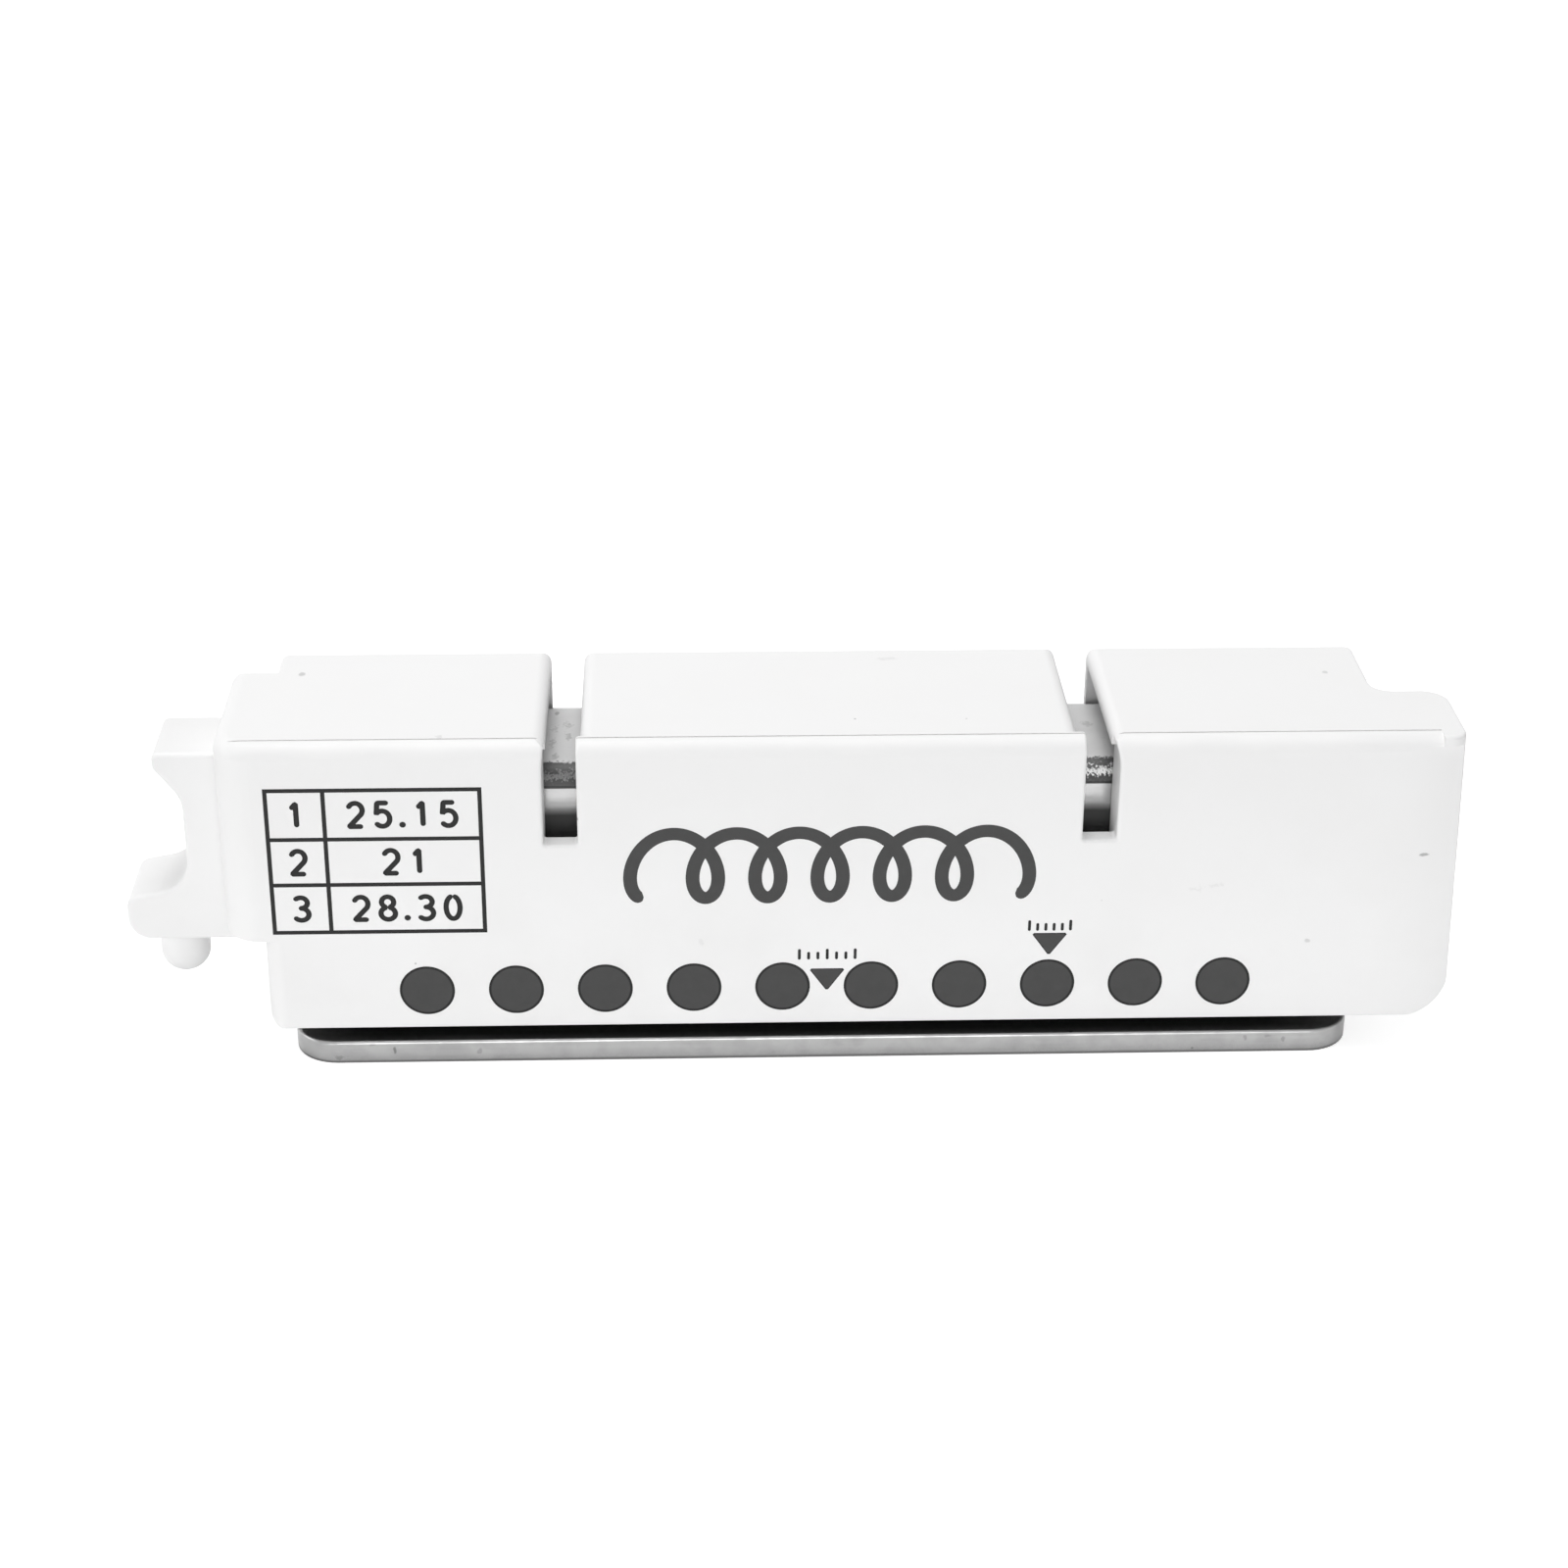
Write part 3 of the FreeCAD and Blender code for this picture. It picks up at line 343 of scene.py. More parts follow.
class Effects:
    """The shared effects, each built once."""

    CLOUD_DETAIL = 4.0
    WOBBLE_CELLS = 1900.0
    WOBBLE_DETAIL = 3.0
    RAYS = 6

    def __init__(self) -> None:
        """Builds every group."""
        self.grain = self.make_grain()
        self.clouds = self.make_clouds()
        self.specks = self.make_specks()
        self.edges = self.make_edges()
        self.creases = self.make_creases()
        self.mark = self.make_mark()

    @staticmethod
    def make_grain() -> Effect:
        """Noise drawn out along the axes by Stretch, in noise cells to the metre."""
        effect = Effect("grain", {"Stretch": (1000.0, 1000.0, 1000.0), "Detail": 3.0}, "Height")
        graph, entry = effect.graph, effect.entry
        drawn = graph.vector("MULTIPLY", graph.place(), entry["Stretch"])
        noise = graph.add("ShaderNodeTexNoise", {"Vector": drawn, "Scale": 1.0, "Detail": entry["Detail"]})
        return effect.give(noise.outputs["Fac"])

    @staticmethod
    def make_clouds() -> Effect:
        """Soft patches: noise of Scale cells to the metre, cut between Low and High."""
        effect = Effect("clouds", {"Scale": 200.0, "Low": 0.4, "High": 0.7}, "Mask")
        graph, entry = effect.graph, effect.entry
        sockets = {"Vector": graph.place(), "Scale": entry["Scale"], "Detail": Effects.CLOUD_DETAIL}
        noise = graph.add("ShaderNodeTexNoise", sockets, noise_dimensions="4D")
        return effect.give(graph.span(noise.outputs["Fac"], entry["Low"], entry["High"], 0.0, 1.0))

    @staticmethod
    def make_specks() -> Effect:
        """Small separate dots: a cell whose chance is over Rarity holds one, of a random size up to Size."""
        effect = Effect("specks", {"Scale": 300.0, "Rarity": 0.95, "Size": 0.12}, "Mask")
        graph, entry = effect.graph, effect.entry
        cells = graph.add("ShaderNodeTexVoronoi", {"Vector": graph.place(), "Scale": entry["Scale"]}).outputs
        chance = graph.add("ShaderNodeSeparateColor", {0: cells["Color"]}).outputs
        chosen = graph.math("GREATER_THAN", chance[0], entry["Rarity"])
        reach = graph.math("MULTIPLY", chance[1], entry["Size"])
        near = graph.inverse(graph.math("DIVIDE", cells["Distance"], reach))
        return effect.give(graph.math("MULTIPLY", chosen, near))

    @staticmethod
    def make_edges() -> Effect:
        """Edges: how far the normal rounded over Radius leaves the surface's own, times Gain."""
        effect = Effect("edges", {"Radius": 0.0003, "Gain": 4.0}, "Mask")
        graph, entry = effect.graph, effect.entry
        rounded = graph.add("ShaderNodeBevel", {"Radius": entry["Radius"]}, samples=Effects.RAYS).outputs[0]
        own = graph.add("ShaderNodeNewGeometry").outputs["Normal"]
        left = graph.inverse(graph.vector("DOT_PRODUCT", rounded, own))
        return effect.give(graph.math("MULTIPLY", left, entry["Gain"], clamp=True))

    @staticmethod
    def make_creases() -> Effect:
        """Creases: how much of the open sky within Reach is blocked."""
        effect = Effect("creases", {"Reach": 0.0008}, "Mask")
        sky = effect.graph.add("ShaderNodeAmbientOcclusion", {"Distance": effect.entry["Reach"]},
                               samples=Effects.RAYS)
        return effect.give(effect.graph.inverse(sky.outputs["AO"]))

    @staticmethod
    def make_mark() -> Effect:
        """One blemish: 1 at Place and 0 from Reach outwards, with an outline stirred by Wobble."""
        inputs = {"Place": (0.0, 0.0, 0.0), "Reach": (0.001, 0.001, 0.001), "Wobble": 0.0}
        effect = Effect("mark", inputs, "Mask")
        graph, entry = effect.graph, effect.entry
        place = graph.place()
        sockets = {"Vector": place, "Scale": Effects.WOBBLE_CELLS, "Detail": Effects.WOBBLE_DETAIL}
        noise = graph.add("ShaderNodeTexNoise", sockets).outputs["Color"]
        shift = graph.vector("MULTIPLY", graph.vector("SUBTRACT", noise, (0.5, 0.5, 0.5)), entry["Wobble"])
        offset = graph.vector("SUBTRACT", graph.vector("ADD", place, shift), entry["Place"])
        away = graph.vector("LENGTH", graph.vector("DIVIDE", offset, entry["Reach"]))
        return effect.give(graph.inverse(away))


@dataclass(frozen=True)
class Blemish:
    """One nick, stain or patch of painted shade: place, reach along each axis and wobble in millimetres, and
    its strength.
    """

    place: Place
    reach: Place
    wobble: float
    strength: float


class Paint(Graph):
    """A material under construction, whose colour is laid on coat by coat."""

    def __init__(self, name: str, effects: Effects) -> None:
        """Starts a white material.

        Args:
            name: The material's name.
            effects: The shared effects.
        """
        self.material = bpy.data.materials.new(name)
        self.material.use_nodes = True
        super().__init__(self.material.node_tree)
        self.effects = effects
        self.colour: Any = grey(1.0)

    def coat(self, mask: Any, colour: Any) -> None:
        """Lays a colour over those below it, as strongly as the mask says."""
        self.colour = self.blend(mask, self.colour, colour)

    def mark(self, blemishes: Iterable[Blemish], colour: Colour) -> None:
        """Lays a colour over every blemish of a piece, as strongly as the strongest mask at each point.

        Args:
            blemishes: Where they are.
            colour: What they show.
        """
        mask = None
        for blemish in blemishes:
            place, reach = (tuple(part * MM for part in parts) for parts in (blemish.place, blemish.reach))
            one = self.effects.mark.place(self, Place=place, Reach=reach, Wobble=blemish.wobble * MM)
            firm = self.rise(one, MARK_CUT, blemish.strength)
            mask = firm if mask is None else self.math("MAXIMUM", mask, firm)
        if mask is not None:
            self.coat(mask, colour)

    def clouds(self, cells: float, cut: Pair) -> Socket:
        """A mask of soft patches with so many noise cells to the metre."""
        return self.effects.clouds.place(self, Scale=cells, Low=cut[0], High=cut[1])

    def specks(self, spacing: float, rarity: float, size: float) -> Socket:
        """A mask of small dots at a spacing in millimetres."""
        return self.effects.specks.place(self, Scale=1 / (spacing * MM), Rarity=rarity, Size=size)

    def edges(self, reach: float, gain: float) -> Socket:
        """A mask of the edges within a reach in millimetres."""
        return self.effects.edges.place(self, Radius=reach * MM, Gain=gain)

    def creases(self, reach: float) -> Socket:
        """A mask of the creases within a reach in millimetres."""
        return self.effects.creases.place(self, Reach=reach * MM)

    def grain(self, cells: Place, detail: float) -> Socket:
        """A noise with so many cells to the metre along each axis."""
        return self.effects.grain.place(self, Stretch=cells, Detail=detail)

    def bump(self, height: Socket, depth: float, strength: float) -> Socket:
        """The normal of a surface roughened by a height, which is so many millimetres deep."""
        sockets = {"Height": height, "Distance": depth * MM, "Strength": strength}
        return self.add("ShaderNodeBump", sockets).outputs[0]

    def close(self, sockets: dict[str, Any]) -> Material:
        """Ends the material in its shader and its output.

        Args:
            sockets: Values or output sockets for the shader, besides its colour.

        Returns:
            The finished material.
        """
        shader = self.add("ShaderNodeBsdfPrincipled", {"Base Color": self.colour, **sockets})
        self.add("ShaderNodeOutputMaterial", {"Surface": shader.outputs[0]})
        return self.material


@dataclass(frozen=True)
class MouldedPlastic:
    """White moulded plastic with a fine spark-eroded grain, faint clouds, tiny specks and nicks.

    It has painted light, paler towards its foot and lighter in its creases, and painted shade on the rounding
    along its front edge and deep in its slots. Spacings, reaches and depths are in millimetres. A level runs
    from 0 for black to 1 for white, and a mask is how strongly a colour shows.
    """

    name: str
    level: float = 0.89
    foot_light_level: float = 0.955
    foot_light_top: float = 30.0
    rounding_shade_level: float = 0.825
    rounding_shade_cut: Pair = (0.04, 0.42)
    cloud_cells: float = 90.0
    cloud_cut: Pair = (0.42, 0.68)
    cloud_mask: float = 0.6
    clouded_share: float = 0.985
    clouded_warmth: float = 0.003
    edge_level: float = 0.89
    edge_reach: float = 0.35
    edge_gain: float = 3.0
    crease_light_level: float = 0.97
    crease_light_warmth: float = 0.01
    crease_reach: float = 0.5
    crease_light_mask: float = 0.8
    recess_shade_level: float = 0.3
    recess_reach: float = 3.0
    recess_cut: Pair = (0.3, 0.7)
    recess_shade_mask: float = 0.85
    speck_level: float = 0.32
    speck_spacing: float = 2.6
    speck_rarity: float = 0.965
    speck_size: float = 0.085
    speck_cut: Pair = (0.0, 0.5)
    speck_mask: float = 0.8
    roughness: float = 0.52
    roughness_swing: float = 0.05
    refraction: float = 1.4
    grain_size: float = 0.16
    grain_detail: float = 2.0
    grain_depth: float = 0.004
    grain_strength: float = 0.6
    nicks: tuple[Blemish, ...] = ()

    def build(self, effects: Effects) -> Material:
        """The material.

        The rounding, which gets painted shade, is where the surface faces both forward and up. The inside of a
        slot, which also gets painted shade, is where little open sky is left within a longer reach than a
        crease has.
        Creases get painted light.

        Args:
            effects: The shared effects.

        Returns:
            White plastic.
        """
        paint = Paint(self.name, effects)
        paint.colour = grey(self.level)
        # Painted light: paler towards the foot.
        paint.coat(paint.span(paint.axes()[2], 0.0, self.foot_light_top * MM, 1.0, 0.0), grey(self.foot_light_level))
        normal = paint.axes("Normal")
        # Painted shade on the rounding, where the surface faces forward and up.
        rounding = paint.math("MULTIPLY", normal[1], paint.math("MULTIPLY", normal[2], -1.0))
        paint.coat(paint.rise(rounding, self.rounding_shade_cut), grey(self.rounding_shade_level))
        patches = paint.math("MULTIPLY", paint.clouds(self.cloud_cells, self.cloud_cut), self.cloud_mask)
        paint.coat(patches, grey(self.level * self.clouded_share, self.clouded_warmth))
        paint.coat(paint.edges(self.edge_reach, self.edge_gain), grey(self.edge_level))
        # Painted light in the creases: a paler, slightly warm colour where a crease is.
        crease = paint.creases(self.crease_reach)
        paint.coat(paint.math("MULTIPLY", crease, self.crease_light_mask),
                   grey(self.crease_light_level, self.crease_light_warmth))
        # Painted shade deep in the slots, where little open sky is left within the longer reach.
        deep = paint.rise(paint.creases(self.recess_reach), self.recess_cut, self.recess_shade_mask)
        paint.coat(paint.math("MULTIPLY", deep, paint.inverse(crease)), grey(self.recess_shade_level))
        specks = paint.specks(self.speck_spacing, self.speck_rarity, self.speck_size)
        paint.coat(paint.rise(specks, self.speck_cut, self.speck_mask), grey(self.speck_level))
        paint.mark(self.nicks, grey(self.speck_level))
        fine = 1 / (self.grain_size * MM)
        grain = paint.grain((fine, fine, fine), self.grain_detail)
        return paint.close({"Roughness": paint.swing(grain, self.roughness, self.roughness_swing),
                            "IOR": self.refraction,
                            "Normal": paint.bump(grain, self.grain_depth, self.grain_strength)})


@dataclass(frozen=True)
class WorkedSteel:
    """Steel with a grain along one axis, dull blotches, dark specks, stain marks and bright edges.

    On some pieces the stain marks include patches of painted shade. A share is a colour's part of the bare
    metal's level, and a mask is how strongly that colour shows.
    """

    name: str
    level: float = 0.5
    warmth: float = 0.0
    dull_share: float = 0.82
    dull_cells: float = 420.0
    dull_cut: Pair = (0.42, 0.66)
    streak_share: float = 1.12
    streak_cut: Pair = (0.35, 0.7)
    streak_mask: float = 0.35
    speck_share: float = 0.45
    speck_spacing: float = 1.7
    speck_rarity: float = 0.8
    speck_size: float = 0.16
    speck_cut: Pair = (0.0, 0.6)
    speck_mask: float = 0.85
    edge_share: float = 1.35
    edge_brightest: float = 0.95
    edge_reach: float = 0.18
    edge_gain: float = 2.2
    metallic: float = 1.0
    roughness: float = 0.36
    spread: float = 0.1
    grain: Place = (60.0, 2600.0, 2600.0)
    grain_detail: float = 4.0
    grain_depth: float = 0.004
    grain_strength: float = 0.7
    stains_and_shade: tuple[Blemish, ...] = ()

    def bare(self, paint: Paint, share: float) -> Any:
        """The bare metal's colour, darkened by a share."""
        return grey(self.level * share, self.warmth)

    def painted_form_shading(self, paint: Paint) -> None:
        """Lays on the painted light and shade that the piece's form brings, which is nothing on plain stock.
        """

    def gloss(self, paint: Paint, rough: Socket) -> dict[str, Any]:
        """The shader's roughness and metallic share."""
        return {"Roughness": rough, "Metallic": self.metallic}

    def build(self, effects: Effects) -> Material:
        """The material.

        Args:
            effects: The shared effects.

        Returns:
            Steel, with the colour and gloss that its kind adds.
        """
        paint = Paint(self.name, effects)
        patches = paint.clouds(self.dull_cells, self.dull_cut)
        paint.colour = self.bare(paint, 1.0)
        paint.coat(patches, self.bare(paint, self.dull_share))
        grain = paint.grain(self.grain, self.grain_detail)
        paint.coat(paint.rise(grain, self.streak_cut, self.streak_mask),
                   grey(self.level * self.streak_share, self.warmth))
        dark = grey(self.level * self.speck_share, self.warmth)
        specks = paint.specks(self.speck_spacing, self.speck_rarity, self.speck_size)
        paint.coat(paint.rise(specks, self.speck_cut, self.speck_mask), dark)
        paint.mark(self.stains_and_shade, dark)
        paint.coat(paint.edges(self.edge_reach, self.edge_gain),
                   grey(min(self.level * self.edge_share, self.edge_brightest), self.warmth))
        self.painted_form_shading(paint)
        half = self.spread / 2
        rough = paint.span(patches, 0.0, 1.0, self.roughness - half, self.roughness + half)
        return paint.close({**self.gloss(paint, rough),
                            "Normal": paint.bump(grain, self.grain_depth, self.grain_strength)})


@dataclass(frozen=True)
class GappedSteel(WorkedSteel):
    """Plate steel with painted shade: nearly black inside a paper gap, and darker ahead of it."""

    gap_reach: float = 3.0
    gap_shade_level: float = 0.003
    gap_shade_cut: Pair = (0.6, 0.8)
    shade_cut: Pair = (0.42, 0.5)
    shade_mask: float = 0.45

    def painted_form_shading(self, paint: Paint) -> None:
        """Lays painted shade on the gap and ahead of it, found by how little open sky is left within the
        reach.
        """
        closed = paint.creases(self.gap_reach)
        shade = paint.rise(closed, self.shade_cut, self.shade_mask)
        paint.coat(paint.math("MAXIMUM", paint.rise(closed, self.gap_shade_cut), shade), grey(self.gap_shade_level))


@dataclass(frozen=True)
class BentSteel(WorkedSteel):
    """Sheet steel with a bend, dulled where it faces up: painted reflection on the bend, painted shade at its
    foot.
    """

    dulled_level: float = 0.63
    dulled_metallic: float = 0.12
    dulled_roughness: float = 0.5
    upward_cut: Pair = (0.08, 0.2)
    stir_cells: Place = (4200.0, 3600.0, 3600.0)
    upward_stir: float = 0.2
    forward_stir: float = 0.12
    bend_stops: tuple[Pair, ...] = (
        (0.0, 0.05), (0.3, 0.018), (0.42, 0.05), (0.52, 0.9), (0.66, 0.62), (0.76, 0.1), (0.95, 0.06))
    bend_low_cut: Pair = (0.02, 0.09)
    bend_high_cut: Pair = (0.1, 0.22)
    reflection_left: float = -25.0
    reflection_right: float = 22.0
    least_reflection: float = 0.2
    painted_dark_level: float = 0.03
    shade_foot: Pair = (24.0, 24.8)
    shade_foot_mask: float = 0.85

    def upward(self, paint: Paint) -> Socket:
        """A mask of what faces up."""
        return paint.rise(paint.axes("Normal")[2], self.upward_cut)

    def bare(self, paint: Paint, share: float) -> Any:
        """The bare metal's colour, darkened by a share and dulled where it faces up."""
        return paint.blend(self.upward(paint), super().bare(paint, share),
                           grey(self.dulled_level * share, self.warmth))

    def painted_form_shading(self, paint: Paint) -> None:
        """Lays painted light and shade on: a painted reflection on the bend and painted shade at its foot.

        The bend is where the surface faces forward and at least a little up. The painted reflection's bright
        crest and its two dark bands are told apart by the upward part of the normal, stirred by a fine noise.
        It is brighter on the right and grows darker towards the left.
        """
        normal, place = paint.axes("Normal"), paint.axes()
        stir = paint.grain(self.stir_cells, self.grain_detail)
        upward = paint.math("ADD", normal[2], paint.swing(stir, 0.0, self.upward_stir))
        reflection_share = paint.span(place[0], self.reflection_left * MM, self.reflection_right * MM, self.least_reflection, 1.0)
        painted_reflection = paint.blend(reflection_share, grey(self.painted_dark_level), paint.ramp(upward, self.bend_stops))
        forward = paint.math("SUBTRACT", paint.swing(stir, 0.0, self.forward_stir), normal[1])
        # Painted shade at the foot of the front face, low down behind the casing's front wall.
        foot_low, foot_high = self.shade_foot
        paint.coat(paint.span(place[2], foot_low * MM, foot_high * MM, self.shade_foot_mask, 0.0),
                   grey(self.painted_dark_level))
        # Painted reflection on the bend, brighter on the right.
        paint.coat(paint.math("MULTIPLY", paint.rise(normal[2], self.bend_low_cut),
                              paint.rise(forward, self.bend_high_cut)), painted_reflection)

    def gloss(self, paint: Paint, rough: Socket) -> dict[str, Any]:
        """The shader's roughness and metallic share, both duller where the steel faces up."""
        upward = self.upward(paint)
        dulled = paint.math("MULTIPLY", upward, self.dulled_roughness)
        return {"Roughness": paint.math("MAXIMUM", rough, dulled),
                "Metallic": paint.span(upward, 0.0, 1.0, self.metallic, self.dulled_metallic)}


@dataclass(frozen=True)
class PadInk:
    """Dark grey pad-printed ink, thinner inside and denser along its outline."""

    name: str
    level: float = 0.047
    thin_share: float = 1.12
    thin_cells: float = 900.0
    thin_cut: Pair = (0.35, 0.75)
    rim_level: float = 0.003
    roughness: float = 0.46
    roughness_swing: float = 0.06
    refraction: float = 1.35
    film_cells: Place = (5000.0, 5000.0, 5000.0)
    film_detail: float = 2.0
    film_depth: float = 0.003
    film_strength: float = 0.5

    def build(self, effects: Effects) -> Material:
        """The material.

        Args:
            effects: The shared effects.

        Returns:
            Ink that reads each mesh's own rim attribute.
        """
        paint = Paint(self.name, effects)
        paint.colour = grey(self.level)
        paint.coat(paint.clouds(self.thin_cells, self.thin_cut), grey(self.level * self.thin_share))
        rim = paint.add("ShaderNodeAttribute", attribute_name="rim").outputs["Fac"]
        paint.coat(rim, grey(self.rim_level))
        film = paint.grain(self.film_cells, self.film_detail)
        return paint.close({"Roughness": paint.swing(film, self.roughness, self.roughness_swing),
                            "IOR": self.refraction,
                            "Normal": paint.bump(film, self.film_depth, self.film_strength)})


CASING_NICKS = (
    Blemish((-55.16, -16.0, 19.87), (0.3, 0.3, 0.16), 0.0, 0.6),
    Blemish((45.96, -16.0, 12.26), (0.35, 0.3, 0.25), 0.3, 0.35),
    Blemish((56.36, -15.9, 21.35), (0.6, 0.4, 0.22), 0.3, 0.75),
    Blemish((35.0, -16.0, 18.1), (0.8, 0.3, 0.3), 1.6, 0.1),
    Blemish((36.9, -16.0, 18.5), (0.9, 0.3, 0.3), 1.6, 0.1),
    Blemish((-12.0, -16.0, 12.9), (0.3, 0.3, 0.5), 0.5, 0.1),
    Blemish((-50.13, 0.39, 33.7), (0.4, 0.5, 0.3), 0.4, 0.5),
    Blemish((-36.0, -13.9, 33.7), (0.4, 0.5, 0.3), 1.2, 0.2),
    Blemish((48.73, -1.15, 33.7), (0.35, 0.4, 0.3), 0.4, 0.35),
    Blemish((6.46, 2.97, 33.7), (1.2, 0.45, 0.3), 1.0, 0.14),
)
CHANNEL_STAINS = (
    Blemish((-25.8, 1.5, 28.8), (0.3, 0.5, 0.3), 0.5, 0.7),
    Blemish((-24.7, -1.3, 28.8), (0.55, 1.2, 0.3), 2.6, 0.45),
    Blemish((-25.9, -2.0, 28.8), (0.4, 0.9, 0.3), 2.4, 0.4),
    Blemish((-24.5, -3.9, 28.8), (0.35, 1.0, 0.3), 1.2, 0.5),
    Blemish((-26.0, -5.4, 28.8), (0.3, 1.6, 0.3), 1.6, 0.45),
    Blemish((-25.7, -8.1, 28.8), (0.4, 0.8, 0.3), 1.2, 0.5),
    Blemish((25.7, -2.0, 28.8), (0.75, 0.7, 0.3), 1.4, 0.4),
    Blemish((24.3, -11.05, 25.0), (0.25, 0.3, 0.35), 0.5, 0.5),
)
PLATE_STAINS_AND_SHADE = (
    # Painted shade: a dark line along the plate's foot, and a darker right-hand corner.
    Blemish((0.0, 0.0, 0.0), (150.0, 60.0, 0.36), 0.0, 0.9),
    Blemish((51.6, -12.5, 1.0), (3.4, 3.4, 6.0), 0.0, 0.5),
    # Stains on the plate's front edge.
    Blemish((-41.5, -16.0, 1.3), (0.16, 6.0, 0.5), 0.4, 0.9),
    Blemish((-46.9, -16.0, 0.6), (0.5, 6.0, 0.25), 0.8, 0.5),
    Blemish((-43.6, -16.0, 1.95), (0.45, 6.0, 0.2), 0.6, 0.4),
    Blemish((-33.4, -16.0, 1.1), (0.25, 6.0, 0.4), 0.8, 0.4),
    Blemish((40.8, -16.0, 1.6), (0.25, 6.0, 0.3), 0.6, 0.45),
    Blemish((43.0, -16.0, 1.7), (0.4, 6.0, 0.2), 0.8, 0.4),
    Blemish((44.5, -16.0, 1.35), (0.3, 6.0, 0.4), 0.7, 0.5),
)


class Finishes:
    """Every finish of the punch, built once."""

    def __init__(self, effects: Effects) -> None:
        """Builds the materials from the shared effects."""
        self.casing = MouldedPlastic("casing_white", nicks=CASING_NICKS).build(effects)
        self.arm = MouldedPlastic("arm_white", level=0.85, foot_light_level=0.91, roughness=0.45, refraction=1.45,
                                  speck_spacing=4.0).build(effects)
        self.plate = GappedSteel("ground_plate", level=0.375, metallic=0.9, edge_share=0.85,
                                 stains_and_shade=PLATE_STAINS_AND_SHADE).build(effects)
        self.press = BentSteel("rolled_press_steel", level=0.56, metallic=0.55, dull_share=0.94,
                               edge_share=0.4, roughness=0.17, spread=0.06,
                               stains_and_shade=CHANNEL_STAINS).build(effects)
        self.tool = WorkedSteel("hardened_punch_steel", level=0.58, roughness=0.26,
                                grain=(1500.0, 1500.0, 120.0)).build(effects)
        self.bright = WorkedSteel("polished_steel", level=0.66, roughness=0.2, spread=0.06, speck_spacing=3.0,
                                  grain=(900.0, 900.0, 2400.0)).build(effects)
        self.wire = WorkedSteel("spring_wire", level=0.42, roughness=0.3,
                                grain=(1800.0, 1800.0, 1800.0)).build(effects)
        self.zinc = WorkedSteel("zinc_plating", level=0.58, roughness=0.34, warmth=0.01,
                                grain=(900.0, 900.0, 900.0)).build(effects)
        self.bronze = WorkedSteel("sintered_bronze", level=0.4, warmth=0.42, roughness=0.44,
                                  speck_spacing=0.7, grain=(2200.0, 2200.0, 2200.0)).build(effects)
        self.ink = PadInk("pad_ink").build(effects)
        self.fine_ink = PadInk("fine_pad_ink", level=0.006, rim_level=0.004).build(effects)


def dress(nodes: Iterable[str], material: Material) -> None:
    """Gives CAD nodes their finish.

    Args:
        nodes: The nodes' names.
        material: What they are dressed in.
    """
    for name in nodes:
        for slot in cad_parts[name].material_slots:
            slot.material = material
        LOG.info("%s: dressed in %s", name, material.name)


# A stroke goes on in steps that are a share of its width, and is narrowed to another share of it at its tips.
STROKE_STEP = 0.12
STROKE_TIP = 0.3
STROKE_LEAST_STEPS = 8
STROKE_PASSES = 3


def stroke(points: np.ndarray, width: float, front: float, proud: Pair, sunk: float) -> Shape:
    """A flat line of ink along a path on the casing's front.

    The path is cut into even steps and smoothed: a few times over, each point becomes half of itself and a
    quarter of each neighbour. A rectangle is carried along it: half the width to each side, shrunk at both
    ends as a circle does, from the sunk depth behind the front to the proud height ahead of it.

    Args:
        points: The path, as rows of X and Z.
        width: The line's width.
        front: The Y of the casing's front.
        proud: How far the ink stands out at the path's start and end.
        sunk: How far it reaches into the casing.

    Returns:
        The line as a closed shape.
    """
    steps = np.hypot(*np.diff(points, axis=0).T)
    run = np.concatenate([[0.0], np.cumsum(steps)])
    count = max(int(run[-1] / (width * STROKE_STEP)), STROKE_LEAST_STEPS)
    even = np.linspace(0.0, run[-1], count)
    path = np.stack([np.interp(even, run, points[:, axis]) for axis in (0, 1)], axis=1)
    for _ in range(STROKE_PASSES):
        path[1:-1] = (path[:-2] + 2 * path[1:-1] + path[2:]) / 4
    way = np.gradient(path, axis=0)
    way /= np.linalg.norm(way, axis=1)[:, None]
    side = np.stack([-way[:, 1], way[:, 0]], axis=1)
    half = width / 2
    from_end = np.minimum(even, even[-1] - even)
    inside = np.clip(half - from_end, 0.0, half)
    reach = np.sqrt(np.maximum(half ** 2 - inside ** 2, (STROKE_TIP * half) ** 2))
    left = path + side * reach[:, None]
    right = path - side * reach[:, None]
    outer = front - np.linspace(proud[0], proud[1], count)
    inner = np.full(count, front + sunk)
    sides = ((left, outer), (right, outer), (right, inner), (left, inner))
    ring = np.stack([np.stack([line[:, 0], depth, line[:, 1]], axis=1) for line, depth in sides], axis=1)
    caps = np.array([[3, 2, 1, 0], np.array([0, 1, 2, 3]) + 4 * (count - 1)])
    return Shape(ring.reshape(-1, 3), [grid_faces(count, 4, False), caps]).outward()


